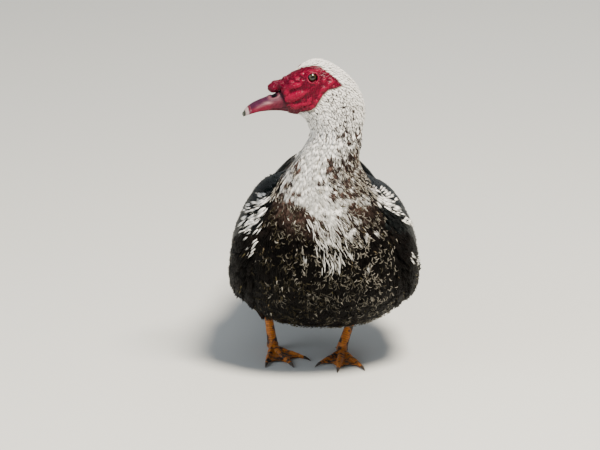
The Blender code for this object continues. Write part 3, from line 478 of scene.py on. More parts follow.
PLUME = {name: np.array(linear(code)[:3]) for name, code in {
    "white": "#fdfbf6", "cream": "#e6dfcf", "buff": "#a39072", "olive": "#6d6446", "russet": "#1e1713",
    "umber": "#4a3a34", "soot": "#080605", "ink": "#070708", "slate": "#3a3836", "fleck": "#3d3634",
}.items()}


def dark_tone(points, rows):
    """The colour of the dark feathers: russet on the upper breast, sooty on belly and flanks."""
    up = front_view(points)[1][..., None]
    rows, back = rows[..., None], points[..., 1:2]
    tone = toward(PLUME["soot"], PLUME["russet"], smooth((up - 135) / 65))
    tone = toward(tone, PLUME["umber"], smooth((rows - 8.0) / 1.0))
    tone = toward(tone, PLUME["fleck"], smooth((rows - 11.8) / 0.8))
    return toward(tone, PLUME["ink"], smooth((back + 0.05) / 0.05))


WING_BANDS = (
    # across, up, half length, half thickness, rise towards the bird's left in degrees, strength
    (-85, 191, 9, 4, 25, 0.95), (-76, 202, 5, 5, 40, 0.9), (-71, 193, 14, 3.2, 25, 0.95), (-82, 175, 19, 3.2, 40, 0.95),
    (-85, 163, 9, 5, 40, 0.9), (-82, 143, 12, 4, 80, 0.9), (-55, 226, 6, 1.6, 5, 0.7), (-59, 219, 7, 1.6, 10, 0.7),
    (-75, 219, 8, 1.4, 40, 0.7), (58, 209, 9, 3, -30, 0.95), (72, 209, 7, 3.4, -25, 0.95), (79, 200, 8, 4, -35, 0.95),
    (72, 193, 8, 5, -30, 0.95), (88, 181, 22, 3, -36, 0.95), (91, 197, 11, 1.8, -55, 0.8), (67, 184, 5, 2.4, 90, 0.8),
    (102, 134, 5, 2.4, 90, 0.8), (111, 127, 6, 2.6, 90, 0.8),
)


def wing_whiteness(points):
    """White feather bands of the small coverts and the feathers beside them."""
    across, up = front_view(points)
    return np.max([blot(across, up, spot) for spot in WING_BANDS], axis=0) * smooth((-points[..., 1] - 0.02) / 0.02)


def past_wing_line(points):
    """1 where the front view shows the wing beyond the breast's edge, 0 on the breast."""
    across, up = front_view(points)
    heights, rights, lefts = np.array(WING_LINE, float).T
    beyond = np.maximum(np.interp(up, heights, rights) - across, across - np.interp(up, heights, lefts))
    return smooth((beyond + 1) / 2) * smooth((up - 148) / 8)


def edge_distance(forward, up):
    """Signed distance in head units from the edge of the bare face, positive inside it."""
    corners = np.array(FACE_EDGE, float)
    best, inside = np.full(forward.shape, 1e9), np.zeros(forward.shape, bool)
    for a, b in zip(corners, np.roll(corners, -1, axis=0)):
        along = b - a
        t = np.clip(((forward - a[0]) * along[0] + (up - a[1]) * along[1]) / (along @ along), 0, 1)
        best = np.minimum(best, np.hypot(forward - a[0] - t * along[0], up - a[1] - t * along[1]))
        slope = (b[0] - a[0]) / (b[1] - a[1] + 1e-12)
        inside ^= ((a[1] > up) != (b[1] > up)) & (forward < a[0] + (up - a[1]) * slope)
    return np.where(inside, best, -best)


def head_coordinates(rows, angles):
    """Forward, left and up of the eye in head units, for places of the straight bird."""
    spot = straight_point(rows, angles)
    return (EYE_Y - spot[..., 1]) / HEAD_UNIT, spot[..., 0] / HEAD_UNIT, (spot[..., 2] - EYE_Z) / HEAD_UNIT


def bareness(rows, angles):
    """1 on the bare face, 0 where feathers grow; white feathers run down the forehead between the eyes."""
    forward, _, up = head_coordinates(rows, angles)
    bare = np.where(rows > JAW + 0.5, smooth((edge_distance(forward, up) + 0.5) / 1.0), 0.0)
    nape = np.degrees((angles + pi) % (2 * pi) - pi)
    stations = (-40, -20, -12, -5, 2, 8, 12, 16, 20)
    left_edge = np.interp(forward, stations, (52, 48, 40, 33, 26, 14, 3, -8, -22))
    right_edge = np.interp(forward, stations, (56, 50, 43, 37, 33, 28, 25, 24, 23))
    bare = bare * np.maximum(smooth((nape - left_edge) / 4 + 1), smooth((-nape - right_edge) / 4 + 1))
    return np.where((forward > 30) | (forward > 19.4) & (rows > JAW + 0.5), 1.0, bare)


# %% [markdown]
# ## The skin
#
# A real bird has one skin under its feathers, bare on the face. Here it is one fine grid over the
# rings, sunk under the outer surface by the depth of the coat. On the face nothing is sunk: the
# flesh lobes are ovals, and each point of the grid is pushed out along its normal to the furthest
# oval it meets. That keeps one smooth sheet with the creases that real caruncles have.

# %% Flesh lobes of the face
EYE_RADIUS, EYE_SIDE = 7.0, 16.8
LOBES = (
    # forward, up, half length, half width, height, slope, sink
    (21.8, -23.6, 15.0, 5.8, 5.0, -21, 0.2), (23.5, -11.0, 13.5, 4.2, 3.8, -8, 0.25),
    (31.5, -19.0, 4.6, 3.6, 3.0, -70, 0.3),
    (12.0, -17.6, 8.5, 2.2, 2.2, -12, 0.3), (14.8, -33.6, 14.5, 2.7, 3.4, -17, 0.2),
    (27.0, -33.5, 6.0, 2.2, 2.2, -28, 0.3),
    (19.0, -38.2, 6.5, 1.6, 1.8, -14, 0.3), (9.0, -38.6, 4.5, 1.8, 1.6, -6, 0.3), (1.5, -36.0, 4.6, 2.6, 2.2, -60, 0.3),
    (-3.0, -30.0, 4.2, 3.0, 2.8, -70, 0.25), (-7.5, -22.5, 4.6, 3.0, 2.8, -55, 0.25),
    (5.0, -27.5, 5.5, 3.0, 2.6, -50, 0.25),
    (-12.5, -13.5, 5.0, 3.4, 2.4, -30, 0.25), (-22.0, -7.5, 6.5, 3.2, 2.2, -35, 0.3),
    (-13.5, -3.0, 5.0, 2.8, 2.2, -75, 0.3),
    (0.5, 7.0, 9.5, 2.8, 3.4, 3, 0.35), (33.0, -13.5, 4.4, 4.2, 4.2, 0, 0.3), (25.5, -7.0, 4.0, 3.8, 3.8, 0, 0.3),
    (18.5, -2.2, 3.6, 3.4, 3.2, 0, 0.3), (11.5, 2.8, 3.2, 3.0, 2.8, 0, 0.3), (4.5, 7.2, 2.8, 2.6, 2.4, 0, 0.3),
    (13.0, -4.5, 3.0, 2.6, 2.4, 0, 0.3),
)
BEAD_COUNT = 70
HEAD_GRID_ROWS, HEAD_GRID_AROUND, TORSO_GRID_ROWS = 150, 256, 110


def lobe_height(points, normals, centre, axes, radii):
    """How far each point must move along its normal to reach the oval, or 0 where it never does."""
    scaled, slant = (points - centre) @ axes.T / radii, normals @ axes.T / radii
    a, b, c = np.sum(slant * slant, -1), np.sum(scaled * slant, -1), np.sum(scaled * scaled, -1) - 1
    root = b * b - a * c
    out = (-b + np.sqrt(np.maximum(root, 0))) / a
    return np.where((root > 0) & (np.abs(out) < 0.02), np.maximum(out, 0), 0)


def face_relief(points, normals, rows, angles):
    """Relief of the bare face in metres: lobes, small beads, wrinkles, and the hollow of each eye."""
    forward, left, up = head_coordinates(rows, angles)
    dice = random.Random(5)
    ovals = [(*lobe, side) for lobe in LOBES for side in (1, -1)]
    while len(ovals) < 2 * len(LOBES) + 2 * BEAD_COUNT:
        f, u = dice.uniform(-26, 30), dice.uniform(-44, 9)
        inner = edge_distance(np.array(f), np.array(u))
        if inner < 1.0 or hypot(f, u) < 9.5:
            continue
        if inner < 5.0 or (u < -26 and f < 14):
            size = dice.uniform(1.1, 2.1)
            spot = (f, u, size * dice.uniform(1.0, 1.5), size, size * 0.8, dice.uniform(-80, 10), 0.3)
            ovals += [(*spot, 1), (*spot, -1)]
    flat_points, flat_normals, flat_relief = points.reshape(-1, 3), normals.reshape(-1, 3), np.zeros(rows.size)
    ahead, above = (head_place(*step) - ORIGIN for step in ((1, 0, 0), (0, 0, 1)))
    for f, u, long, wide, high, slope, sink, side in ovals:
        if side < 0 and u > -4:
            continue
        away = np.hypot(forward.ravel() - f, up.ravel() - u) + np.where(left.ravel() * side > 0, 0, 1e3)
        nearest = int(np.argmin(away))
        normal = flat_normals[nearest]
        along = ahead * cos(radians(slope)) + above * sin(radians(slope))
        along = unit(along - normal * (along @ normal))
        axes = np.array((along, np.cross(normal, along), normal))
        centre = flat_points[nearest] - normal * high * sink * HEAD_UNIT
        mine = away < 2.6 * long
        radii = np.array((long, wide, high)) * HEAD_UNIT
        raised = lobe_height(flat_points[mine], flat_normals[mine], centre, axes, radii)
        flat_relief[mine] = np.maximum(flat_relief[mine], raised)
    relief = flat_relief.reshape(rows.shape)
    for _ in range(2):
        beside = np.roll(relief, 1, 1) + np.roll(relief, -1, 1) + np.roll(relief, 1, 0) + np.roll(relief, -1, 0)
        relief = 0.5 * relief + 0.125 * beside
    away = np.hypot(forward, up)
    ring_wrinkle = np.cos(away * 2 * pi / 2.2) * smooth((away - 7) / 2) * smooth((15 - away) / 6)
    furrow = np.cos(forward * 2 * pi / 2.6 + 1.6 * np.sin(up * 0.45)) * smooth((up + 32) / 8) * smooth((-5 - up) / 3)
    pebbles = clouds(points, 0.0024, 14.0) + 0.5 * clouds(points, 0.0012, 15.0) - 0.75
    wrinkles = (0.34 * ring_wrinkle + 0.55 * furrow * smooth((11 - forward) / 5) + 1.3 * pebbles) * HEAD_UNIT
    relief = relief + wrinkles * (1 - smooth(relief / (1.5 * HEAD_UNIT)) * 0.55)
    relief = relief - 2.2 * HEAD_UNIT * smooth((-40.5 - up) / 3) * smooth((forward - 2) / 6)
    lid = np.exp(-(((away - 6.5) / 1.0) ** 2)) * 1.5 * HEAD_UNIT
    hollow = smooth((6.0 - away) / 1.3) * 4.6 * HEAD_UNIT
    return np.maximum(relief * smooth((away - 6.6) / 2.0), lid) - hollow


# %% [markdown]
# ## Bare skin
#
# The bare face of a muscovy drake is thick, wet-looking skin, crimson with blood near the surface.
# Light enters it a little, so it glows at its thin edges. The creases carry painted shade, darker
# the lower the skin lies. The knob is more purple, and very fine pits and lines cover all of it; the
# pits get a little painted shade. Where feathers grow, the skin takes the colour of the feathers over
# it, so that no gap between them shows, dimmed as painted shade deep in the coat.

# %% Skin material
skin_finish, tree, place = new_material("crimson_caruncle_skin")
bare_share = add(tree, "Attribute", attribute_name="bare").outputs["Fac"]
# Blood patches about 6 mm across.
patches = add(tree, "TexNoise", {"Vector": place, "Scale": 160.0, "Detail": 3.0, "Roughness": 0.6})
# Skin pits about 0.6 mm apart, drawn near 1 mm; their colour darkens towards their middles as painted shade.
pits = add(tree, "TexVoronoi", {"Vector": place, "Scale": 950.0})
lines = add(tree, "TexNoise", {"Vector": place, "Scale": 520.0, "Detail": 2.0, "Distortion": 0.6})
blood = add(tree, "Mix", {0: patches, 6: linear("#50001a"), 7: linear("#920030")}, data_type="RGBA")
raised = add(tree, "Attribute", attribute_name="raised").outputs["Fac"]
# Painted shade in the creases: the lower the skin lies, the nearer its colour comes to near-black.
painted_crease_shade = add(tree, "Mix", {
    0: add(tree, "MapRange", {0: raised, 1: -0.0004, 2: 0.0011}), 6: linear("#22000a"), 7: blood
}, data_type="RGBA")
knobbed = add(tree, "Mix", {
    0: add(tree, "Attribute", attribute_name="purple").outputs["Fac"], 6: painted_crease_shade, 7: linear("#3c0014")
}, data_type="RGBA")
# Painted shade in the skin pits: the colour darkens towards each pit's middle.
face_colour = add(tree, "VectorMath", {
    0: knobbed, 1: add(tree, "MapRange", {0: pits, 1: 0.0, 2: 0.6, 3: 0.8, 4: 1.08})
}, operation="MULTIPLY")
skin_colour = add(tree, "Mix", {
    0: bare_share, 6: add(tree, "Attribute", attribute_name="tone").outputs["Color"], 7: face_colour
}, data_type="RGBA")
roughness = add(tree, "Mix", {
    0: bare_share, 2: 0.7, 3: add(tree, "MapRange", {0: lines, 1: 0.3, 2: 0.7, 3: 0.18, 4: 0.34})
})
bump = add(tree, "Bump", {
    "Height": add(tree, "Math", {0: pits, 1: 0.5, 2: lines}, operation="MULTIPLY_ADD"), "Distance": 0.0006,
    "Strength": 0.8,
})
shader = add(tree, "BsdfPrincipled", {
    "Base Color": skin_colour, "Roughness": roughness, "Normal": bump, "Subsurface Weight": 0.05,
    "Subsurface Radius": (0.9, 0.25, 0.18), "Subsurface Scale": 0.0022, "IOR": 1.42, "Specular IOR Level": 0.24,
})
add(tree, "OutputMaterial", {"Surface": shader})

# %% The skin's grid
torso_part = np.linspace(0, JAW, TORSO_GRID_ROWS, endpoint=False)
head_part = np.linspace(JAW, LAST_ROW - 0.02, HEAD_GRID_ROWS)
skin_angles = np.linspace(0, 2 * pi, HEAD_GRID_AROUND, endpoint=False)
row_grid, angle_grid = np.meshgrid(np.concatenate([torso_part, head_part]), skin_angles, indexing="ij")
skin_points, skin_normals, _ = body_frame(row_grid, angle_grid)
bare = bareness(row_grid, angle_grid)
coat_depth = np.interp(row_grid, (0, 7.5, 10, 12.3, 14), (0.0035, 0.0035, 0.0028, 0.0018, 0.0013))
relief = np.zeros(row_grid.shape)
facial = row_grid[:, 0] > 13.5
relief[facial] = face_relief(skin_points[facial], skin_normals[facial], row_grid[facial], angle_grid[facial])
skin_surface = skin_points + skin_normals * (relief * bare - coat_depth * (1 - bare))[..., None]
skin = closed_tube("skin", skin_surface, skin_finish)
white_share = whiteness(skin_points, row_grid, angle_grid)[..., None]
# The dark tone under dark feathers, dimmed to 0.7 as painted shade deep in the coat.
dimmed_dark_under = dark_tone(skin_points, row_grid) * 0.7
forward_grid, _, up_grid = head_coordinates(row_grid, angle_grid)
purpled = smooth((forward_grid - 18) / 14) * smooth((up_grid + 20) / 10) * 0.8 * bare


def dress_skin(piece, bare, raised, purple, tone):
    """What the skin's material reads: how bare, raised and purple each point is, and its feathers' tone; the less
    raised, the more painted crease shade.
    """
    count = len(piece.data.vertices)
    for key, values in (("bare", bare), ("raised", raised), ("purple", purple)):
        store(piece.data, key, "FLOAT", np.broadcast_to(values, count))
    store(piece.data, "tone", "FLOAT_COLOR", np.broadcast_to(tone, (count, 3)))


# Under the feathers the skin takes their colour, dimmed as painted shade deep in the coat: cream at 0.55 under white
# feathers.
under = PLUME["cream"] * 0.55 * white_share + dimmed_dark_under * (1 - white_share)
dress_skin(skin, *map(with_ends, (bare, relief * bare, purpled, under)))
print("skin points", len(skin.data.vertices), "lowest and highest relief mm", relief.min() * 1000, relief.max() * 1000)

# %% [markdown]
# ## Feather keratin
#
# A contour feather is a shaft with two vanes of barbs that sweep towards the tip. Dark feathers here
# often have a pale fringe worn into broken arcs, and pale ones a darker tip. Each feather carries its
# own plume and fringe colours as attributes, and its vane map gives the place across and along it, so
# one material serves thousands of feathers.

# %% Feather materials
def feather_material(name, roughness, gloss_tint, gloss, barb_depth):
    """Barbs as fine slanted streaks, a broken fringe round the tip, and a thin shaft."""
    finish, tree, place = new_material(name)
    split = add(tree, "SeparateXYZ", {0: add(tree, "UVMap", uv_map="vane")}).outputs
    marks = add(tree, "SeparateXYZ", {0: add(tree, "Attribute", attribute_name="mark").outputs["Vector"]}).outputs
    across = add(tree, "Math", {0: split[0], 1: 2.0, 2: -1.0}, operation="MULTIPLY_ADD")
    side = add(tree, "Math", {0: across}, operation="ABSOLUTE")
    corner = add(tree, "CombineXYZ", {0: side, 1: add(tree, "MapRange", {0: split[1], 1: 0.55, 2: 1.0})})
    reach = add(tree, "VectorMath", {0: corner}, operation="LENGTH")
    # Worn fringes break up over about 3 mm.
    worn = add(tree, "Math", {
        0: add(tree, "TexNoise", {"Vector": place, "Scale": 330.0, "Detail": 2.0}), 1: 0.55, 2: reach
    }, operation="MULTIPLY_ADD")
    start = add(tree, "Math", {0: 1.38, 1: marks[0]}, operation="SUBTRACT")
    rim = add(tree, "MapRange", {
        0: worn, 1: start, 2: add(tree, "Math", {0: start, 1: 0.1}, operation="ADD")
    }, interpolation_type="SMOOTHSTEP")
    rimmed = add(tree, "Math", {
        0: rim, 1: add(tree, "MapRange", {0: split[1], 1: 0.3, 2: 0.5}, interpolation_type="SMOOTHSTEP")
    }, operation="MULTIPLY")
    coloured = add(tree, "Mix", {
        0: rimmed, 6: add(tree, "Attribute", attribute_name="plume").outputs["Color"],
        7: add(tree, "Attribute", attribute_name="fringe").outputs["Color"],
    }, data_type="RGBA")
    # Barbs lie about 0.4 mm apart in life and are drawn near 0.8 mm, so that they show.
    sweep = add(tree, "Math", {0: side, 1: -0.35, 2: split[1]}, operation="MULTIPLY_ADD")
    along = add(tree, "CombineXYZ", {0: sweep, 1: across, 2: marks[1]})
    barbs = add(tree, "TexNoise", {
        "Vector": add(tree, "VectorMath", {0: along, 1: (26.0, 1.6, 1.0)}, operation="MULTIPLY"), "Scale": 1.0,
        "Detail": 2.5,
    })
    streaked = add(tree, "VectorMath", {
        0: coloured, 1: add(tree, "MapRange", {0: barbs, 1: 0.3, 2: 0.7, 3: 0.72, 4: 1.18})
    }, operation="MULTIPLY")
    finished = add(tree, "VectorMath", {
        0: streaked,
        1: add(tree, "MapRange", {0: side, 1: 0.03, 2: 0.09, 3: 0.75, 4: 1.0}, interpolation_type="SMOOTHSTEP"),
    }, operation="MULTIPLY")
    sheen = {"Specular Tint": linear(gloss_tint), "Specular IOR Level": gloss, "IOR": 1.54}
    bump = add(tree, "Bump", {"Height": barbs, "Distance": barb_depth, "Strength": 0.6})
    shader = add(tree, "BsdfPrincipled", {"Base Color": finished, "Roughness": roughness, "Normal": bump, **sheen})
    add(tree, "OutputMaterial", {"Surface": shader})
    return finish


body_keratin = feather_material("soft_contour_feather", 0.62, "#ffffff", 0.05, 0.0004)
glossy_keratin = feather_material("glossy_wing_feather", 0.40, "#cfeee8", 0.09, 0.00025)

# %% [markdown]
# ## One feather, and a coat of them
#
# A body feather is a thin arched vane, round or worn at its tip. A few shapes are drawn once, each of
# some forty triangles. A geometry tree stands one of them on every root point, turned to lie along
# the body, and gives each a patch in the bake map at its root's place on the skin.

# %% Feather shapes
# Size of one feather's patch in the bake map.
PATCH = 0.003
VANE_SHAPES = {
    # along the feather: how far, half width as a share of the full half width, arch
    "round": ((0, 0.16, 0), (0.22, 0.72, 1.2), (0.5, 1, 1.6), (0.76, 0.92, 1.3), (0.93, 0.56, 0.6), (1, 0.12, 0.1)),
    "worn": ((0, 0.16, 0), (0.24, 0.66, 1.3), (0.52, 0.95, 1.9), (0.78, 1, 1.3), (0.97, 0.7, 0.5), (0.9, 0.1, 0.5)),
    "narrow": ((0, 0.18, 0), (0.25, 0.6, 1.1), (0.5, 0.8, 1.7), (0.72, 0.7, 1.6), (0.9, 0.4, 1.1), (1, 0.08, 0.7)),
    "curled": ((0, 0.16, 0), (0.22, 0.7, 0.9), (0.5, 0.98, 1.1), (0.75, 0.88, 1.3), (0.92, 0.52, 1.9), (0.99, 0.12, 2.6)),
}
vane_shapes, frayed_shapes, fringe_shapes, hair_shapes = (
    bpy.data.collections.new(name) for name in ("vane_shapes", "frayed_shapes", "fringe_shapes", "hair_shapes")
)


def keep_shape(name, points, faces, maps, collection):
    """A small shape with its vane map, kept out of the scene in a collection."""
    mesh = bpy.data.meshes.new(name)
    mesh.from_pydata(points, [], faces)
    vane_map = mesh.uv_layers.new(name="vane")
    for loop in mesh.loops:
        vane_map.data[loop.index].uv = maps[loop.vertex_index]
    mesh.shade_smooth()
    collection.objects.link(bpy.data.objects.new(name, mesh))
    return mesh


for index, (name, stations) in enumerate(VANE_SHAPES.items()):
    points, maps, faces = [], [], []
    for along, half, arch in stations:
        for across, rise in ((-1, -0.55), (0, 0.35), (1, -0.55), (0, -0.35)):
            points.append((across * half * 0.5, along, arch + rise * (0.4 + half)))
            maps.append((0.5 + 0.5 * across, along))
    faces = grid_faces(len(stations), 4) + [(3, 2, 1, 0), tuple(range(len(points) - 4, len(points)))]
    face_outward(keep_shape(f"vane_{index}_{name}", points, faces, maps, vane_shapes))

# %% [markdown]
# ## Frayed feathers and loose fringes
#
# On the breast and neck the feathers have no hard edge: their barbs stick together in pointed clumps
# that fan out and hide where one feather ends. Each is drawn as six thin three-sided strands. The
# pale worn fringes of the dark feathers show as single curled strands that lie over the coat.

# %% Strands
FRAYED_SHAPES = (
    # strands, how far they spread, sideways curl of their tips
    (6, 1.00, 0.00), (6, 0.85, 0.12), (6, 1.10, -0.12), (5, 0.90, 0.22), (5, 0.90, -0.24),
)
FRINGE_BENDS = (95, -95, 60, -60, 125, -120, 35, -30)
HAIR_BENDS = (8, -8, 22, -22)


def draw_strands(name, strands, collection):
    """Closed three-sided strands, each given as rings of x, y, z and half width, ending in a point."""
    points, maps, faces = [], [], []
    for rings, tip in strands:
        start = len(points)
        for x, y, z, half, side_x, side_y in rings:
            for across, rise in ((-half, -0.25), (half, -0.25), (0, 0.45)):
                points.append((x + across * side_x, y + across * side_y, z + rise))
                maps.append((0.5 + x, y))
        points.append(tip)
        maps.append((0.5 + tip[0], tip[1]))
        faces.append((start, start + 1, start + 2))
        for i in range(len(rings) - 1):
            for j in range(3):
                a, b = start + 3 * i + j, start + 3 * i + (j + 1) % 3
                faces.append((a, a + 3, b + 3, b))
        last = start + 3 * (len(rings) - 1)
        faces += [(last + j, len(points) - 1, last + (j + 1) % 3) for j in range(3)]
    keep_shape(name, points, faces, maps, collection)


strand_dice = random.Random(12)
for index, (count, spread, curl) in enumerate(FRAYED_SHAPES):
    strands = []
    for k in range(count):
        out = 2 * (k + 0.5) / count - 1
        length = (1 - 0.22 * out**2) * strand_dice.uniform(0.84, 1.05)
        bulge = 0.42 * out * spread
        tip = (bulge * 1.08 + curl + strand_dice.uniform(-0.07, 0.07), length, strand_dice.uniform(-0.2, 1.0))
        middle = (bulge + curl * 0.2, 0.52 * length, 1.5 - 0.7 * out**2, 0.12, 1, 0)
        strands.append((((0.15 * out, 0.02, 0.0, 0.09, 1, 0), middle), tip))
    draw_strands(f"frayed_{index}", strands, frayed_shapes)
for index, bend in enumerate(FRINGE_BENDS + HAIR_BENDS):
    rings, x, y, heading = [], 0.0, 0.0, -radians(bend) / 3
    for step, half in enumerate((0.03, 0.085, 0.10, 0.075)):
        rings.append((x, y, 0.25 * step, half, cos(heading), sin(-heading)))
        heading += radians(bend) / 4
        x, y = x + sin(heading) * 0.25, y + cos(heading) * 0.25
    draw_strands(f"fringe_{index}", [(rings, (x, y, 0.9))], fringe_shapes if index < len(FRINGE_BENDS) else hair_shapes)

# %% The coat tree
ROOT_FIELDS = {
    "turn": "FLOAT_VECTOR", "grow": "FLOAT_VECTOR", "plume": "FLOAT_COLOR", "fringe": "FLOAT_COLOR",
    "mark": "FLOAT_VECTOR", "root": "FLOAT_VECTOR",
}
COAT_INPUTS = (
    ("Geometry", "Geometry", None), ("Vane Shapes", "Collection", None), ("Width", "Float", 0.015),
    ("Length", "Float", 0.024), ("Depth", "Float", 0.0011), ("Ruffle", "Float", 0.12), ("Seed", "Int", 3),
    ("Last Shape", "Int", 3),
)


def coat_tree(finish):
    """Points with the root fields become a joined coat."""
    tree = bpy.data.node_groups.new("coat_of_feathers", "GeometryNodeTree")
    for name, kind, value in COAT_INPUTS:
        socket = tree.interface.new_socket(name, in_out="INPUT", socket_type="NodeSocket" + kind)
        if value is not None:
            socket.default_value = value
    tree.interface.new_socket("Geometry", in_out="OUTPUT", socket_type="NodeSocketGeometry")
    entry = add(tree, "NodeGroupInput").outputs
    turn, grow, root, vane = (
        add(tree, "GeometryNodeInputNamedAttribute", {"Name": name}, data_type="FLOAT_VECTOR")
        for name in ("turn", "grow", "root", "vane")
    )
    shapes = add(tree, "GeometryNodeCollectionInfo", {
        "Collection": entry["Vane Shapes"], "Separate Children": True, "Reset Children": True})
    kind = add(tree, "FunctionNodeRandomValue", {4: 0, 5: entry["Last Shape"], "Seed": entry["Seed"]}, data_type="INT")
    wobble = add(tree, "FunctionNodeRandomValue", {
        "Min": (-0.25, -0.9, -1.0), "Max": (0.25, 0.9, 1.0), "Seed": entry["Seed"]}, data_type="FLOAT_VECTOR")
    ruffled = add(tree, "VectorMath", {0: wobble, "Scale": entry["Ruffle"]}, operation="SCALE")
    facing, extra = (add(tree, "FunctionNodeEulerToRotation", {0: angles}) for angles in (turn, ruffled))
    turned = add(tree, "FunctionNodeRotateRotation", {0: facing, 1: extra}, rotation_space="LOCAL")
    size = add(tree, "CombineXYZ", {0: entry["Width"], 1: entry["Length"], 2: entry["Depth"]})
    planted = add(tree, "GeometryNodeInstanceOnPoints", {
        "Points": entry["Geometry"], "Instance": shapes, "Pick Instance": True, "Instance Index": kind,
        "Rotation": turned, "Scale": add(tree, "VectorMath", {0: size, 1: grow}, operation="MULTIPLY"),
    })
    real = add(tree, "GeometryNodeRealizeInstances", {0: planted})
    patch = add(tree, "VectorMath", {0: vane, 1: (PATCH, PATCH, 0), 2: root}, operation="MULTIPLY_ADD")
    mapped = add(tree, "GeometryNodeStoreNamedAttribute", {
        "Geometry": real, "Name": "OFBake", "Value": patch}, data_type="FLOAT2", domain="CORNER")
    add(tree, "NodeGroupOutput", {0: add(tree, "GeometryNodeSetMaterial", {0: mapped, "Material": finish})})
    return tree


def turns_along(along, normal):
    """Euler angles that turn Y along a feather and Z as near to the normal as it can be."""
    across = unit(np.cross(along, normal))
    outward = np.cross(across, along)
    pitch, roll = np.arctan2(along[..., 2], outward[..., 2]), -np.arcsin(np.clip(across[..., 2], -1, 1))
    return np.stack([pitch, roll, np.arctan2(across[..., 1], across[..., 0])], -1)


def finished_mesh(piece, name):
    """A plain piece with the modifiers applied, in the place of the one given."""
    depsgraph = bpy.context.evaluated_depsgraph_get()
    mesh = bpy.data.meshes.new_from_object(piece.evaluated_get(depsgraph), depsgraph=depsgraph)
    bpy.data.objects.remove(piece)
    mesh.name = name
    mesh.shade_smooth()
    return in_scene(name, mesh)


def triangles(mesh):
    return sum(len(p.vertices) - 2 for p in mesh.polygons)


def grow_coat(name, feathers, finish, seed, depth, ruffle, shapes):
    """Runs the coat tree on root points and keeps the result as a plain mesh."""
    points = bpy.data.meshes.new(name + "_roots")
    points.from_pydata(shifted(feathers["point"]).tolist(), [], [])
    for key, kind in ROOT_FIELDS.items():
        store(points, key, kind, feathers[key])
    bed = in_scene(name + "_bed", points)
    modifier = bed.modifiers.new("coat", "NODES")
    modifier.node_group = coat_tree(finish)
    values = {
        "Vane Shapes": shapes, "Last Shape": len(shapes.objects) - 1, "Seed": seed,
        "Width": 1.0, "Length": 1.0, "Depth": depth, "Ruffle": ruffle,
    }
    for socket in modifier.node_group.interface.items_tree:
        if socket.in_out == "INPUT" and socket.name in values:
            modifier[socket.identifier] = values[socket.name]
    made = finished_mesh(bed, name)
    for key in ("turn", "grow", "root"):
        if key in made.data.attributes:
            made.data.attributes.remove(made.data.attributes[key])
    print(name, len(feathers["point"]), "feathers,", triangles(made.data), "triangles")
    return made


# %% [markdown]
# ## Where the feathers root
#
# Feathers root close and evenly but in no strict rows. Points are thrown on the skin and kept only
# when no kept one is too near, with the spacing going from 7 mm on the body to 2 mm on the head.
# Each feather points from its root to a place on the coat one length further tailwards, so it
# follows the body's curves.

# %% Throwing the root points
SPACING = (
    (0, 0.0072), (5.0, 0.0068), (6.2, 0.0055), (7.6, 0.0050), (8.8, 0.0043), (10.2, 0.0037), (12.2, 0.0031),
    (13.2, 0.0023), (23, 0.0021),
)
LENGTHS = (
    (0, 0.030), (5.0, 0.027), (6.2, 0.022), (7.6, 0.0195), (8.8, 0.0165), (10.2, 0.0140), (12.2, 0.0108),
    (13.4, 0.0072), (23, 0.0055),
)
WIDTHS = (
    (0, 0.018), (5.0, 0.016), (6.2, 0.0125), (7.6, 0.0108), (8.8, 0.0088), (10.2, 0.0072), (12.2, 0.0056),
    (13.4, 0.0037), (23, 0.0030),
)
WING_REAR, WING_FRONT = 1.3, 7.0
WING_EDGES = (
    # row of the body, then side angles of the folded wing's upper and lower edge
    (1.3, 24, 66), (2.2, 22, 88), (3.4, 24, 104), (5.0, 27, 112), (5.8, 37, 110), (6.3, 48, 103), (6.7, 57, 95),
    (7.0, 66, 82),
)


def by_row(table, rows, column=1):
    table = np.array(table)
    return np.interp(rows, table[:, 0], table[:, column])


def throw_points(row_range, spacing, keep, seed, place=body_at, cells=(260, 160), angle_range=(0, 2 * pi), tries=9):
    """Row and angle of points no nearer than their spacing, where keep(rows, angles) is true."""
    dice = np.random.default_rng(seed)
    row_edges, angle_edges = np.linspace(*row_range, cells[0] + 1), np.linspace(*angle_range, cells[1] + 1)
    corner_rows, corner_angles = np.meshgrid(row_edges, angle_edges, indexing="ij")
    corners = place(corner_rows, corner_angles)
    crossed = np.cross(corners[1:, 1:] - corners[:-1, :-1], corners[1:, :-1] - corners[:-1, 1:])
    middles = (0.5 * (edges[1:, 1:] + edges[:-1, :-1]) for edges in (corner_rows, corner_angles))
    weight = (np.linalg.norm(crossed, axis=-1) / 2 / spacing(*middles) ** 2).ravel()
    thrown = int(weight.sum() * tries)
    i, j = np.divmod(dice.choice(len(weight), thrown, p=weight / weight.sum()), cells[1])
    rows = row_edges[i] + dice.random(thrown) * (row_edges[1] - row_edges[0])
    angles = angle_edges[j] + dice.random(thrown) * (angle_edges[1] - angle_edges[0])
    kept = keep(rows, angles)
    rows, angles = rows[kept], angles[kept]
    spots, gaps = place(rows, angles), spacing(rows, angles)
    keys = np.floor(spots / float(gaps.max())).astype(int)
    around = [(x, y, z) for x in (-1, 0, 1) for y in (-1, 0, 1) for z in (-1, 0, 1)]
    spots, limits = spots.tolist(), (gaps * gaps).tolist()
    buckets, chosen = {}, []
    for n, ((kx, ky, kz), (px, py, pz), limit) in enumerate(zip(keys.tolist(), spots, limits)):
        near = (spots[m] for dx, dy, dz in around for m in buckets.get((kx + dx, ky + dy, kz + dz), ()))
        if all((px - x) ** 2 + (py - y) ** 2 + (pz - z) ** 2 >= limit for x, y, z in near):
            buckets.setdefault((kx, ky, kz), []).append(n)
            chosen.append(n)
    return rows[chosen], angles[chosen]


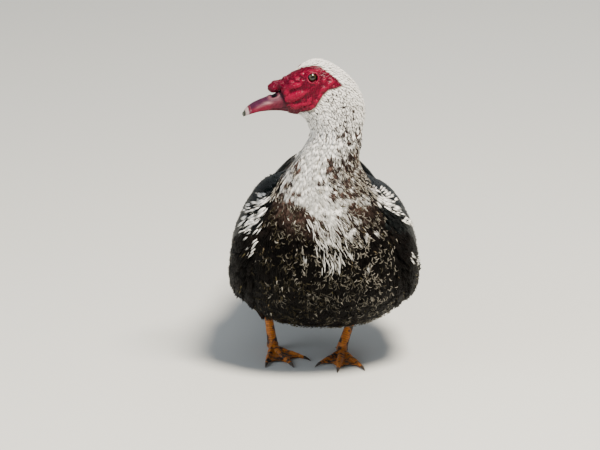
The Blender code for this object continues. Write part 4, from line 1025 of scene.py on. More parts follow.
def under_wing(rows, angles, margin=6.0):
    """True where the folded wing hides the body, on either side."""
    side = side_angle(angles)
    beside = (side > by_row(WING_EDGES, rows) + margin) & (side < by_row(WING_EDGES, rows, 2) - margin)
    return (rows > WING_REAR + 0.7) & (rows < WING_FRONT - 0.5) & beside


def walk_back(rows, angles, distance, place=body_at, step=0.02):
    """The row reached after going a distance tailwards over the body."""
    for _ in range(3):
        speed = np.linalg.norm(place(rows + step, angles) - place(rows - step, angles), axis=-1) / (2 * step)
        rows = rows - distance / 3 / np.maximum(speed, 1e-4)
    return rows


body_rows, body_angles = throw_points(
    (0.15, 22.4), lambda r, a: by_row(SPACING, r), lambda r, a: (bareness(r, a) < 0.35) & ~under_wing(r, a), 21
)
print("feathers on body, neck and head:", len(body_rows))


# %% Laying and colouring the body feathers
def bake_root(rows, turns):
    """The corner of each feather's patch in the bake map, at its root's place on the skin."""
    return np.stack([turns % 1.0, rows / LAST_ROW, np.zeros_like(rows)], -1) * (1 - PATCH)


def marks(widths, dice):
    """How wide each feather's fringe is, and where its barbs start in the noise."""
    count = len(widths)
    return np.stack([widths, dice.random(count) * 40, np.zeros(count)], -1)


def sizes_of(widths, lengths, size):
    return np.concatenate([widths[:, None] * size, lengths[:, None] * size, np.ones_like(size)], 1)


def lay_feathers(rows, angles, lengths, widths, lift, sunk, seed, height=None):
    """Body feathers from their roots to the coat's surface tailwards, over what lies on the body."""
    dice = np.random.default_rng(seed)
    point, normal, lie = body_frame(rows, angles)
    tip_rows = np.maximum(walk_back(rows, angles, lengths), 0.0)
    tip, tip_normal, _ = body_frame(tip_rows, angles)
    if height:
        point = point + normal * height(rows, angles)[:, None]
        tip = tip + tip_normal * (height(tip_rows, angles) + sunk)[:, None]
    root = point - normal * sunk[:, None]
    along = tip + tip_normal * (lift - sunk)[:, None] - root
    short = np.linalg.norm(along, axis=-1) < lengths * 0.6
    along[short] = lie[short] + normal[short] * 0.15
    size = dice.normal(1.0, 0.07, (len(rows), 1)).clip(0.8, 1.2)
    return {
        "point": root, "turn": turns_along(unit(along), normal), "grow": sizes_of(widths, lengths, size),
        "root": bake_root(rows, angles / (2 * pi)), "seen_rows": np.maximum(walk_back(rows, angles, lengths * 0.8), 0),
    }


def colour_feathers(feathers, angles, seed):
    """Plume and fringe colours of body feathers from the marking where each one shows."""
    dice = np.random.default_rng(seed)
    seen_rows, grow = feathers["seen_rows"], feathers["grow"]
    seen = body_at(seen_rows, angles)
    beyond = past_wing_line(seen) * (seen_rows < 9.2) * smooth(-seen[:, 1] / 0.02)
    white = toward(whiteness(seen, seen_rows, angles), wing_whiteness(seen), beyond)
    dark = toward(dark_tone(seen, seen_rows), PLUME["ink"], beyond[:, None])
    count = len(angles)
    roll, second, third = dice.random((3, count))
    pale = roll < white
    silky = pale & (seen_rows < 12) & (beyond < 0.5)
    stray = pale & (white < 0.75) & (seen_rows < 9.5)
    for chosen, sizes in (
        (silky, (0.85, 1.15, 0.4)), (beyond > 0.5, (0.75, 0.95, 0.6)), (pale & (beyond > 0.5), (0.6, 1.0, 1.0)),
        (stray, (0.62, 0.85, 1.0)),
    ):
        grow = np.where(chosen[:, None], grow * sizes, grow)
    headed = smooth((seen_rows - 12.0) / 0.6)
    tint = PLUME["white"] * (0.94 + 0.06 * second[:, None]) * (1 - headed[:, None] * 0.08)
    mottled = 0.45 + 1.5 * third[:, None] ** 2 + 0.3 * second[:, None]
    plume = np.where(pale[:, None], tint, dark * mottled)
    front = smooth(-seen[:, 1] / 0.06) * (seen_rows < 9) * (1 - beyond)
    cluster = smooth((clouds(seen, 0.016, 21.0) - 0.40) / 0.25)
    buff_edge = np.where((third < 0.7)[:, None], PLUME["buff"] * 0.7, PLUME["olive"])
    pale_edge = np.where((third < 0.35)[:, None], PLUME["cream"] * 0.7, buff_edge)
    fringed = (dice.random(count) < 0.05 + 0.42 * front * cluster) & ~pale
    flecked = (dice.random(count) < 0.06 + 0.35 * smooth((seen_rows - 9.5) / 2) * (1 - white)) & pale
    fringe = np.where(fringed[:, None], pale_edge, np.where(flecked[:, None], dark, plume))
    fringe_width, fleck_width = 0.20 + 0.14 * dice.random(count), 0.28 + 0.25 * dice.random(count)
    width = np.where(fringed, fringe_width, np.where(flecked, fleck_width, 0.2))
    grow[:, 0] *= np.where(~pale & (seen_rows > 12.0), dice.uniform(0.35, 0.8, count), 1.0)
    return {**feathers, "grow": grow, "beyond": beyond, "plume": plume, "fringe": fringe, "mark": marks(width, dice)}


def part_of(feathers, chosen):
    return {key: value[chosen] for key, value in feathers.items()}


sunk = np.interp(body_rows, (0, 7.5, 10, 12.3, 14), (0.0038, 0.0038, 0.0030, 0.0019, 0.0013))
feathers = lay_feathers(
    body_rows, body_angles, by_row(LENGTHS, body_rows), by_row(WIDTHS, body_rows), sunk * 0.92, sunk, 5
)
feathers = colour_feathers(feathers, body_angles, 6)
on_back = (side_angle(body_angles) < 62) & (body_rows < 7.5)
behind = ~on_back & (body_rows < 5.2)
on_breast = ~on_back & ~behind & (body_rows < 8.6)
on_neck = (body_rows >= 8.6) & (body_rows < 12.3)
left_half = (body_angles % (2 * pi)) < pi
COATS = (
    # name, which feathers, finish, shapes, depth, ruffle, slot
    ("mantle_coat", on_back, glossy_keratin, vane_shapes, 0.0009, 0.08, "dark_feathers"),
    ("belly_coat", behind, body_keratin, vane_shapes, 0.0010, 0.14, "dark_feathers"),
    ("breast_coat_left", on_breast & left_half, body_keratin, frayed_shapes, 0.0010, 0.20, "dark_feathers"),
    ("breast_coat_right", on_breast & ~left_half, body_keratin, frayed_shapes, 0.0010, 0.20, "dark_feathers"),
    ("neck_coat", on_neck, body_keratin, frayed_shapes, 0.0006, 0.14, "white_feathers"),
    ("head_coat", body_rows >= 12.3, body_keratin, vane_shapes, 0.00035, 0.16, "white_feathers"),
)
feathers["grow"][on_back, 2] *= 0.3
for name, chosen, finish, shapes, depth, ruffle, slot in COATS:
    piece = grow_coat(name, part_of(feathers, chosen), finish, 3, depth, ruffle, shapes)
    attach(piece, "root")

# %% Loose fringes over the breast
WISPS = (
    # across, up, half width, half height, lean, strength: soft pale tufts of the lower breast
    (-26, 170, 3, 5, 0, 0.6), (-24, 144, 3, 4, 0, 0.9), (-31, 104, 3, 4, 30, 0.7), (-25, 125, 5, 3, 0, 0.8),
    (-22, 115, 3, 3, 0, 0.7), (5, 112, 3, 6, -20, 0.8), (43, 135, 14, 3, 8, 0.9), (33, 149, 3, 10, -25, 0.9),
    (51, 148, 2.5, 7, 0, 0.9), (68, 153, 2.5, 5, 0, 0.8), (57, 108, 4, 4, 0, 0.8), (56, 83, 5, 3, 0, 0.6),
    (28, 102, 4, 3, 0, 0.6), (22, 85, 8, 2.5, 0, 0.6), (2, 83, 3, 4, 20, 0.6), (-53, 77, 6, 5, 30, 0.5),
    (-67, 87, 5, 4, 0, 0.4), (84, 118, 2.5, 5, 0, 0.7), (24, 178, 6, 8, 0, 0.6), (-8, 132, 3, 6, 0, 0.7),
    (16, 128, 3, 6, 0, 0.6), (-52, 160, 3, 8, 20, 0.4), (-44, 128, 4, 3, 0, 0.5), (74, 138, 4, 3, 0, 0.5),
)


def strand_spots(row_range, spacing, keep, seed):
    """Roots of strands, their places on the body and on the front view, and the white share there."""
    rows, angles = throw_points(row_range, lambda r, a: np.full(r.shape, spacing), keep, seed, tries=5)
    spots = body_at(rows, angles)
    return rows, angles, spots, *front_view(spots), whiteness(spots, rows, angles)


def grow_strands(name, rows, angles, lengths, slant, lift, thickness, shades, seed, depth, shapes):
    """Single strands that lie over the coat, turned from the lie of the feathers by slant."""
    dice = np.random.default_rng(seed + 1)
    point, normal, lie = body_frame(rows, angles)
    flat = lie * np.cos(slant)[:, None] + np.cross(lie, normal) * np.sin(slant)[:, None]
    along = unit(flat + normal * dice.uniform(0.02, 0.12, (len(rows), 1)))
    thick = dice.uniform(*thickness, (len(rows), 1))
    strands = {
        "point": point + normal * lift[:, None], "turn": turns_along(along, normal),
        "grow": np.concatenate([lengths[:, None] * thick, lengths[:, None], np.ones_like(thick)], 1),
        "root": bake_root(rows, angles / (2 * pi)), "plume": shades[0], "fringe": shades[1],
        "mark": marks(np.full(len(rows), 0.5), np.random.default_rng(seed)),
    }
    made = grow_coat(name, strands, body_keratin, 13, depth, 0.1, shapes)
    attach(made, "root")


rows, angles, spots, across, up, white_here = strand_spots(
    (4.6, 9.4), 0.0021, lambda r, a: (side_angle(a) > 70) & ~under_wing(r, a, 2.0), 44
)
dice = np.random.default_rng(45)
cluster = smooth((clouds(spots, 0.013, 31.0) - 0.34) / 0.30)
middle = 0.12 + 0.88 * smooth((88 - np.abs(across - 4)) / 40)
height_share = np.interp(up, (0, 30, 60, 100, 165, 200, 230), (0.08, 0.22, 0.6, 1.0, 1.0, 0.85, 0.5))
chance = 0.8 * cluster * middle * height_share * (1 - 0.6 * white_here) * (1 - past_wing_line(spots))
wisp = np.max([blot(across, up, spot) for spot in WISPS], axis=0)
kept = (dice.random(len(up)) < np.maximum(chance, wisp)) & (spots[:, 1] < 0.0)
rows, angles, across, up, wisp = (values[kept] for values in (rows, angles, across, up, wisp))
count = len(up)
risen = 0.06 + across / 170 + 0.14 * smooth((up - 50) / 40) + 0.2 * smooth((up - 120) / 60)
bright = np.clip(risen + dice.normal(0, 0.2, count) + 0.5 * (dice.random(count) < 0.16), 0.03, 1.0)
bright = np.maximum(bright, wisp * dice.uniform(0.6, 1.1, count))[:, None]
shade = PLUME["olive"] * 0.45 * (1 - bright) + PLUME["cream"] * 0.72 * bright
grow_strands(
    "pale_fringes", rows, angles, dice.uniform(0.0024, 0.0066, count) * (1 + 0.6 * wisp), dice.normal(0, 0.85, count),
    dice.uniform(-0.0002, 0.0010, count), (0.55, 1.7), (shade * 0.45, shade), 46, 0.0007, fringe_shapes,
)
# White hairs that stream down from the end of the stripe.
rows, angles, spots, across, up, _ = strand_spots((5.5, 9.0), 0.0024, lambda r, a: side_angle(a) > 110, 54)
middle = np.interp(up, (92, 110, 130, 180, 240), (5, 6, 8, 4, -14))
reach = np.interp(up, (88, 110, 130, 180, 240), (2, 7, 13, 26, 30))
chance = 0.5 * smooth((reach - np.abs(across - middle)) / 5 + 0.6) * smooth((up - 114) / 10) * smooth((240 - up) / 30)
kept = (dice.random(len(up)) < chance) & (spots[:, 1] < -0.05)
rows, angles = rows[kept], angles[kept]
count = len(rows)
shade = PLUME["white"] * dice.uniform(0.55, 1.0, (count, 1))
grow_strands(
    "white_hairs", rows, angles, dice.uniform(0.008, 0.016, count), dice.normal(0, 0.2, count),
    dice.uniform(0.0, 0.0009, count), (0.35, 0.7), (shade, shade), 56, 0.0008, hair_shapes,
)
# Small dashes of the other colour, where the neck and cheek are speckled.
rows, angles, spots, across, up, white_here = strand_spots(
    (7.8, 17.5), 0.0016, lambda r, a: (bareness(r, a) < 0.1) & (side_angle(a) > 30), 64
)
nape = side_angle(angles)
mixed = smooth((1 - np.abs(2 * white_here - 1)) / 0.5)
cheek_share = 0.20 + 0.55 * smooth((16.8 - rows) / 4.5) * smooth((128 - nape) / 45)
cheek_share = cheek_share * smooth((nape - 48) / 20) * (rows > 11.8)
kept = dice.random(len(up)) < np.where(rows > 11.8, cheek_share, 0.012 + 0.60 * mixed * (rows > 8.0))
rows, angles, white_here = rows[kept], angles[kept], white_here[kept]
count = len(rows)
dark_dash = ((rows > 11.6) | (dice.random(count) < white_here + 0.1))[:, None]
dark_shade, pale_shade = (
    PLUME[name] * dice.uniform(low, high, (count, 1)) for name, low, high in (("fleck", 0.15, 2.2), ("cream", 0.2, 0.8))
)
shade = np.where(dark_dash, dark_shade, pale_shade)
grow_strands(
    "neck_dashes", rows, angles, np.interp(rows, (8, 12, 14), (0.0062, 0.0040, 0.0030)) * dice.uniform(0.6, 1.2, count),
    dice.normal(0, 0.3, count), np.interp(rows, (8, 12, 14), (0.0007, 0.0004, 0.00035)), (0.7, 1.8), (shade, shade), 66,
    0.0004, hair_shapes,
)

# %% [markdown]
# ## The folded wings
#
# A folded wing lies on the flank like a closed fan. From the front come small coverts, a tier of
# greater coverts, then the secondaries that form the glossy panel, the tertials along the back, and
# the long primaries, which reach over the rump. Each big feather is drawn as its own vane along the
# wing's surface, with a raised shaft, and the small ones grow by the coat tree.

# %% The wing's surface
GAP = 0.0003
WING_THICK, WING_EDGE_THICK = 0.010, 0.0022
# How much higher the right wing stands, and the row, side angle and spreads of that rise.
RIGHT_WING_RISE = (0.008, 4.6, 30, 1.5, 15)


def wing_edges(rows):
    return np.radians(by_row(WING_EDGES, rows)), np.radians(by_row(WING_EDGES, rows, 2))


def wing_height(rows, angles, rise):
    """How high the wing stands over the body."""
    upper, lower = wing_edges(rows)
    across = 2 * (angles - upper) / (lower - upper) - 1
    along = 2 * (rows - WING_REAR) / (WING_FRONT - WING_REAR) - 1
    dome = np.maximum(0.0, 1 - np.abs(across) ** 3.0) ** 0.6
    ends = np.maximum(0.0, 1 - np.maximum(along, 0) ** 4) ** 0.6 * (1 - 0.55 * smooth(-along))
    _, mid_row, mid_angle, row_spread, angle_spread = RIGHT_WING_RISE
    away = ((rows - mid_row) / row_spread) ** 2 + ((np.degrees(angles) - mid_angle) / angle_spread) ** 2
    return WING_EDGE_THICK + (WING_THICK - WING_EDGE_THICK) * dome * ends + rise * np.exp(-away)


def wing_frame(rows, angles, lift=0.0, rise=0.0):
    """Points over the left wing, with the body's normal there."""
    rows, angles, lift = np.broadcast_arrays(*(np.asarray(values, float) for values in (rows, angles, lift)))
    point, normal, _ = body_frame(rows, angles)
    return point + normal * (GAP + wing_height(rows, angles, rise) + lift)[..., None], normal


# %% Drawing big feathers one by one
VANE_COLUMNS = np.array((-1.0, -0.72, -0.4, -0.07, 0.0, 0.07, 0.4, 0.72, 1.0))
SHAFT_RISE = np.array((0.0, 0.1, 0.2, 0.28, 1.0, 0.28, 0.2, 0.1, 0.0))
VANE_THICK, VANE_TILT = 0.0007, 0.0012


def vane_outline(share, blunt):
    """Half width along a flight feather: narrow at the root, full past the middle, round at the tip."""
    root = np.minimum(1.0, 0.42 + 1.9 * share)
    tip = np.sqrt(np.maximum(0.0, 1 - np.maximum(0.0, (share - (1 - blunt)) / blunt) ** 2))
    return np.maximum(0.04, root * tip)


class Vanes:
    """Collects closed vanes into one mesh with its maps and colours."""

    def __init__(self):
        self.faces, self.kept = [], {key: [] for key in ("points", "vane", "OFBake", "plume", "fringe", "mark")}

    def add(self, top, bottom, plume, fringe, mark, root):
        rows, columns = top.shape[:2]
        start = sum(len(points) for points in self.kept["points"])
        grid = np.arange(rows * columns).reshape(rows, columns) + start
        under = grid + rows * columns
        for quads in (
            (grid[:-1, :-1], grid[:-1, 1:], grid[1:, 1:], grid[1:, :-1]),
            (under[:-1, :-1], under[1:, :-1], under[1:, 1:], under[:-1, 1:]),
            (grid[:-1, 0], grid[1:, 0], under[1:, 0], under[:-1, 0]),
            (grid[:-1, -1], under[:-1, -1], under[1:, -1], grid[1:, -1]),
            (grid[0, :-1], under[0, :-1], under[0, 1:], grid[0, 1:]),
            (grid[-1, :-1], grid[-1, 1:], under[-1, 1:], under[-1, :-1]),
        ):
            self.faces += np.stack(quads, -1).reshape(-1, 4).tolist()
        flat = np.stack(np.meshgrid(0.5 + 0.5 * VANE_COLUMNS, np.linspace(0, 1, rows)), -1).reshape(-1, 2)
        patch = np.asarray(root)[:2] + flat * PATCH * 4
        self.kept["points"].append(np.concatenate([top.reshape(-1, 3), bottom.reshape(-1, 3)]))
        for key, values in (("vane", flat), ("OFBake", patch)):
            self.kept[key].append(np.tile(values, (2, 1)))
        for key, value in (("plume", plume), ("fringe", fringe), ("mark", mark)):
            self.kept[key].append(np.tile(value, (2 * rows * columns, 1)))

    def piece(self, name, finish, mirrored=False):
        kept = {key: np.concatenate(values) for key, values in self.kept.items()}
        made = mesh_piece(name, shifted(kept["points"] * (-1 if mirrored else 1, 1, 1)), self.faces, finish)
        mesh = made.data
        loops = np.array([loop.vertex_index for loop in mesh.loops])
        for key in ("vane", "OFBake"):
            layer = mesh.uv_layers.new(name=key)
            layer.data.foreach_set("uv", kept[key][loops].astype(np.float32).ravel())
        for key, kind in (("plume", "FLOAT_COLOR"), ("fringe", "FLOAT_COLOR"), ("mark", "FLOAT_VECTOR")):
            store(mesh, key, kind, kept[key])
        face_outward(mesh)
        print(name, triangles(mesh), "triangles")
        return made


def laid_vane(vanes, root, tip, width, lifts, colours, steps, rise, blunt, seed):
    """A vane along the wing's surface from root to tip, each given as row and angle in degrees."""
    share = np.linspace(0, 1, steps)[:, None]
    rows = root[0] + (tip[0] - root[0]) * share
    angles = np.radians(root[1] + (tip[1] - root[1]) * share)
    left, right = (wing_frame(rows, angles + turn, 0, rise)[0] for turn in (0.02, -0.02))
    arc = np.linalg.norm(left - right, axis=-1) / 0.04
    outline = vane_outline(share, blunt)
    columns = VANE_COLUMNS[None, :]
    angles = angles + width / 2 * outline / arc * columns
    rows = np.broadcast_to(rows, angles.shape)
    lift = lifts[0] + (lifts[1] - lifts[0]) * share + VANE_TILT * columns * outline - 0.0005 * columns**2 * outline
    lift = lift + 0.00025 * np.sin(share * 17 + seed * 2.1 + columns * 2.0) * outline
    body = VANE_THICK * (0.35 + 0.65 * outline)
    top, _ = wing_frame(rows, angles, lift + body / 2 + 0.0004 * SHAFT_RISE * (1 - share), rise)
    bottom, _ = wing_frame(rows, angles, lift - body / 2, rise)
    vanes.add(top, bottom, *colours, np.array(((root[1] / 360) % 1, root[0] / LAST_ROW)) * (1 - 4 * PATCH))


def free_vane(vanes, root, tip, width, sag, roll, side_hint, colours, steps, blunt, map_place, seed):
    """A straight flight or tail feather between two points, with its middle raised a little."""
    root, tip = np.asarray(root, float), np.asarray(tip, float)
    along = unit(tip - root)
    across = unit(np.cross(along, np.array(side_hint, float)))
    up = np.cross(across, along)
    across, up = across * cos(roll) + up * sin(roll), up * cos(roll) - across * sin(roll)
    share = np.linspace(0, 1, steps)[:, None, None]
    outline = vane_outline(share, blunt)
    columns = VANE_COLUMNS[None, :, None]
    middle = root + (tip - root) * share + up * sag * np.sin(pi * share)
    wave = 0.0003 * np.sin(share * 15 + seed * 1.7 + columns * 2.2) * outline
    sheet = middle + across * columns * outline * width / 2 + up * (wave - 0.0009 * columns**2 * outline)
    body = VANE_THICK * (0.35 + 0.65 * outline)
    top = sheet + up * (body / 2 + 0.0005 * SHAFT_RISE[None, :, None] * (1 - share))
    vanes.add(top, sheet - up * body / 2, *colours, map_place)


# %% Both wings
# GREEN_SHEEN is black with a little green: the green sheen of glossy feathers, painted into their base colour.
INK, GREEN_SHEEN = np.array(linear("#070809")[:3]), np.array(linear("#0a1211")[:3])
PRIMARY_TIP, PRIMARY_STEP = np.array((0.036, 0.262, 0.176)), np.array((0.0014, -0.0078, -0.0026))
WING_TIERS = (
    # how many, first side angle, step, width, lifts, steps, blunt, seed, pale share, root and tip
    (11, 50, 4.7, 0.023, (-0.0045, 0.0003), 20, 0.20, 0, 0.0,
     lambda i, angle, dice: ((3.9, angle), (1.55 + 0.011 * i * i, angle - 9 + 0.88 * i))),
    (5, 27, 5.2, 0.026, (-0.0028, 0.0022), 18, 0.30, 20, 0.0,
     lambda i, angle, dice: ((4.2, angle + 3), (1.18 + 0.09 * i, angle - 3))),
    (12, 38, 5.6, 0.021, (-0.0030, 0.0026), 12, 0.30, 40, 0.06,
     lambda i, angle, dice: ((4.75, angle - 3), (3.30 + 0.10 * (i % 2) + 0.02 * dice.random(), angle - 1))),
)
COVERT_ROWS = (3.9, 5.0, 5.8, 7.2)
FLANK_EDGE = ((3.2, 114), (4.0, 105), (5.0, 93), (5.8, 84), (6.2, 72), (6.45, 52), (6.7, 30), (7.6, 24))


def flight_colours(dice, pale=0.0):
    """Plume, fringe and mark of a wing feather; pale is the chance that it is white."""
    if dice.random() < pale:
        plume = PLUME["white"] * dice.uniform(0.8, 1.0)
        return plume, plume * 0.9, (0.2, dice.random() * 40, 0)
    # Each dark feather takes a random share of the painted green sheen.
    plume = toward(INK, GREEN_SHEEN, dice.random())
    fringe = PLUME["slate"] * 0.6 if dice.random() < 0.4 else plume
    return plume, fringe, (0.16, dice.random() * 40, 0)


def rise_of(side):
    return RIGHT_WING_RISE[0] if side < 0 else 0.0


def make_wing(side, name):
    """Primaries, then the secondaries, tertials and greater coverts over them."""
    dice, vanes = random.Random(31 + side), Vanes()
    for i in range(8):
        root, _ = wing_frame(2.75, radians(46 + 3.0 * i), -0.0024, rise_of(side))
        free_vane(
            vanes, root, PRIMARY_TIP + PRIMARY_STEP * i, 0.023, 0.004, radians(-14), (0.62, 0.0, 0.78),
            flight_colours(dice), 18, 0.16, ((48 + 5.2 * i) / 360, 0.06), i,
        )
    for count, first, step, width, lifts, steps, blunt, seed, pale, ends in WING_TIERS:
        for i in range(count):
            root, tip = ends(i, first + step * i, dice)
            laid_vane(
                vanes, root, tip, width * dice.uniform(0.96, 1.04), lifts, flight_colours(dice, pale), steps,
                rise_of(side), blunt, i + seed,
            )
    return vanes.piece(name, glossy_keratin, side < 0)


def flank_line(rows):
    """Side angle in degrees below which the wing shows and above which the flank feathers cover it."""
    return by_row(FLANK_EDGE, rows)


def small_coverts(side, name):
    """Scapulars and small coverts over the front of the wing, by the coat tree."""

    def place(rows, angles):
        return wing_frame(rows, angles, 0.0, rise_of(side))[0]

    def on_wing(rows, angles):
        upper, lower = wing_edges(rows)
        inside = (angles > upper - 0.10) & (angles < lower + 0.04) & (rows > 3.9)
        return inside & (np.degrees(angles) < flank_line(rows) + 12)

    def spacing(rows, angles):
        return np.interp(rows, COVERT_ROWS, (0.0100, 0.0075, 0.0052, 0.0046))

    rows, angles = throw_points(
        (3.9, 7.35), spacing, on_wing, 40 + side, place, (90, 90), (radians(18), radians(118))
    )
    dice, count = np.random.default_rng(50 + side), len(rows)
    lengths = np.interp(rows, COVERT_ROWS, (0.042, 0.030, 0.021, 0.016))
    widths = np.interp(rows, COVERT_ROWS, (0.022, 0.017, 0.0115, 0.009))
    point, normal = wing_frame(rows, angles, -0.003, rise_of(side))
    tip, _ = wing_frame(walk_back(rows, angles, lengths, place), angles, 0.0018, rise_of(side))
    point, tip, normal = (values * (side, 1, 1) for values in (point, tip, normal))
    grow = sizes_of(widths, lengths, dice.normal(1.0, 0.06, (count, 1)).clip(0.8, 1.2))
    seen = point + (tip - point) * 0.8
    pale = dice.random(count) < wing_whiteness(seen) * 0.5
    grow *= np.where(pale[:, None], (0.55, 1.0, 0.4), (1.0, 1.0, 0.4))
    _, up = front_view(seen)
    # Painted green sheen, more of it higher up the front of the wing.
    dark = toward(INK, GREEN_SHEEN, (smooth((up - 150) / 60) * dice.random(count))[:, None])
    plume = np.where(pale[:, None], PLUME["white"] * dice.uniform(0.75, 1.0, (count, 1)), dark)
    grey = (dice.random(count) < 0.25)[:, None]
    feathers = {
        "point": point, "turn": turns_along(unit(tip - point), normal), "grow": grow, "plume": plume,
        "root": bake_root(rows, np.degrees(angles) / 360 * side),
        "fringe": np.where(pale[:, None], plume, np.where(grey, PLUME["slate"], dark)),
        "mark": marks(0.12 + 0.1 * dice.random(count), dice),
    }
    return grow_coat(name, feathers, glossy_keratin, 9, 0.0009, 0.10, frayed_shapes)


def over_wing(rows, angles):
    """Height of the folded wing over the body there, nothing beside it."""
    side = np.radians(side_angle(angles))
    upper, lower = wing_edges(rows)
    inside = smooth((side - upper) / 0.08 + 0.5) * smooth((lower + 0.12 - side) / 0.18)
    return (GAP + wing_height(rows, side, 0.0)) * inside * smooth((WING_FRONT + 0.3 - rows) / 0.4)


def flank_surface(rows, angles):
    point, normal, _ = body_frame(rows, angles)
    return point + normal * over_wing(rows, angles)[..., None]


def flank_range(side):
    return (radians(24), radians(130)) if side > 0 else (radians(230), radians(336))


def on_flank(rows, angles):
    side = side_angle(angles)
    beside = (side > flank_line(rows)) & (side < by_row(WING_EDGES, rows, 2) + 12)
    return beside & (rows > 3.1) & ((side > 40) | (rows < 7.2))


def flank_coat(side, name):
    """Feathers of the flank and shoulder that lie over the front of the folded wing."""
    rows, angles = throw_points(
        (3.1, 7.7), lambda r, a: 0.9 * by_row(SPACING, r), on_flank, 60 + side, flank_surface, (120, 80),
        flank_range(side),
    )
    lengths, widths, same = by_row(LENGTHS, rows), by_row(WIDTHS, rows), np.ones(rows.shape)
    made = lay_feathers(rows, angles, lengths, widths, same * 0.0028, same * 0.0015, 61, over_wing)
    made = colour_feathers(made, angles, 62)
    shoulder = made["beyond"] > 0.5
    soft, glossy = part_of(made, ~shoulder), part_of(made, shoulder)
    return (
        grow_coat(f"flank_coat_{name}", soft, body_keratin, 17, 0.0010, 0.16, frayed_shapes),
        grow_coat(f"shoulder_coat_{name}", glossy, glossy_keratin, 18, 0.0009, 0.08, frayed_shapes),
    )


def white_streaks(side, name):
    """Narrow white feathers that show between the dark ones at the front of the folded wing."""
    rows, angles = throw_points(
        (4.4, 7.7), lambda r, a: np.full(r.shape, 0.0036), lambda r, a: wing_whiteness(flank_surface(r, a)) > 0.45,
        70 + side, flank_surface, (140, 120), flank_range(side),
    )
    dice = np.random.default_rng(71)
    kept = dice.random(len(rows)) < 0.5
    rows, angles = rows[kept], angles[kept]
    count = len(rows)
    lengths = dice.uniform(0.008, 0.015, count)
    made = lay_feathers(
        rows, angles, lengths, lengths * 0.22, np.full(count, 0.0040), np.full(count, 0.0002), 72, over_wing
    )
    made["plume"] = PLUME["white"] * dice.uniform(0.7, 1.0, (count, 1))
    made["fringe"] = made["plume"] * 0.7
    made["mark"] = marks(np.full(count, 0.15), dice)
    streaks = grow_coat(f"white_streaks_{name}", made, body_keratin, 19, 0.0007, 0.10, frayed_shapes)
    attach(streaks, "root")


for side, label in ((1, "left"), (-1, "right")):
    white_streaks(side, label)
    for piece in flank_coat(side, label):
        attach(piece, "root")
    flight = make_wing(side, f"wing_{label}_flight")
    coverts = small_coverts(side, f"wing_{label}_coverts")
    for piece in (flight, coverts):
        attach(piece, "root")
    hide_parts(f"wing_{label}")

# %% [markdown]
# ## The tail
#
# The tail is a fan of long stiff feathers on a short fleshy root, which the tail coverts hide above
# and below. The skin ends at the rump, and the feathers carry on from there.

# %% Tail feathers and their coverts
FEATHERS_EACH_SIDE = 8
TAIL_ROOT, TAIL_TIP = (0.208, 0.133), (0.368, 0.128)
UPRIGHT = (0, 0, 1)
tail_vanes = Vanes()
tail_dice = random.Random(8)
for side in (1, -1):
    for i in range(FEATHERS_EACH_SIDE):
        spread = (i + 0.5) / FEATHERS_EACH_SIDE
        root = (side * 0.024 * spread, TAIL_ROOT[0] + 0.010, TAIL_ROOT[1] - 0.0004 * i)
        length = (TAIL_TIP[0] - TAIL_ROOT[0]) * (1 - 0.20 * spread**2) * tail_dice.uniform(0.985, 1.0)
        angle = radians(19) * spread
        tip = (root[0] + side * length * sin(angle), root[1] + length * cos(angle), TAIL_TIP[1] - 0.0012 * i)
        free_vane(
            tail_vanes, root, tip, 0.026, 0.002, -radians(9) * side, UPRIGHT, flight_colours(tail_dice), 18, 0.2,
            (0.5, 0.005), i,
        )
for side in (1, -1):
    for tier in range(3):
        for i in range(4):
            out = (i + 0.5) / 4
            root = (side * (0.002 + 0.024 * out), 0.205 - 0.006 * tier, 0.1485 - 0.004 * out + 0.0012 * tier)
            back, high = 0.290 - 0.016 * tier - 0.014 * out, 0.1400 - 0.003 * out + 0.0022 * tier
            tip = (side * (0.004 + 0.036 * out), back, high)
            free_vane(
                tail_vanes, root, tip, 0.022, 0.002, 0.15 * side, UPRIGHT, flight_colours(tail_dice), 10, 0.3,
                (0.5, 0.01), i,
            )
            root = (side * (0.002 + 0.024 * out), 0.200 - 0.006 * tier, 0.1180 - 0.001 * tier)
            tip = (side * (0.004 + 0.034 * out), 0.300 - 0.018 * tier - 0.016 * out, 0.1195 - 0.0016 * tier)
            free_vane(
                tail_vanes, root, tip, 0.022, -0.001, 0.0, UPRIGHT, flight_colours(tail_dice), 10, 0.3, (0.5, 0.99), i
            )
tail = tail_vanes.piece("tail_fan", glossy_keratin)
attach(tail, "root")
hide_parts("tail")

# %% [markdown]
# ## The knob
#
# The knob over the bill's base is a fold of the same skin that overhangs in front, so a grid pushed
# out along its normals can't make it. Six soft balls are joined by a voxel remesh, smoothed, and
# wrinkled by noise. It wears the skin's own material and sinks into the forehead.

# %% Make the knob
KNOBS = (
    # forward, left, up, half length, half width, half height
    (44.2, 0.0, -15.2, 8.0, 7.4, 6.2), (41.0, 2.5, -12.0, 6.6, 5.2, 4.6), (41.0, -2.5, -12.0, 6.6, 5.2, 4.6),
    (35.0, 4.2, -11.5, 7.2, 5.8, 5.2), (35.0, -4.2, -11.5, 7.2, 5.8, 5.2), (27.5, 0.0, -5.5, 6.5, 7.0, 4.2),
)
KNOB_VOXEL = 0.0005


def ball_shape(segments, rings):
    shape = bmesh.new()
    bmesh.ops.create_uvsphere(shape, u_segments=segments, v_segments=rings, radius=1.0)
    points = np.array([v.co for v in shape.verts])
    faces = [tuple(v.index for v in f.verts) for f in shape.faces]
    shape.free()
    return points, faces


def joined(parts):
    """Several (points, faces) as one."""
    points, faces, start = [], [], 0
    for part_points, part_faces in parts:
        points.append(part_points)
        faces += [tuple(start + i for i in f) for f in part_faces]
        start += len(part_points)
    return np.concatenate(points), faces


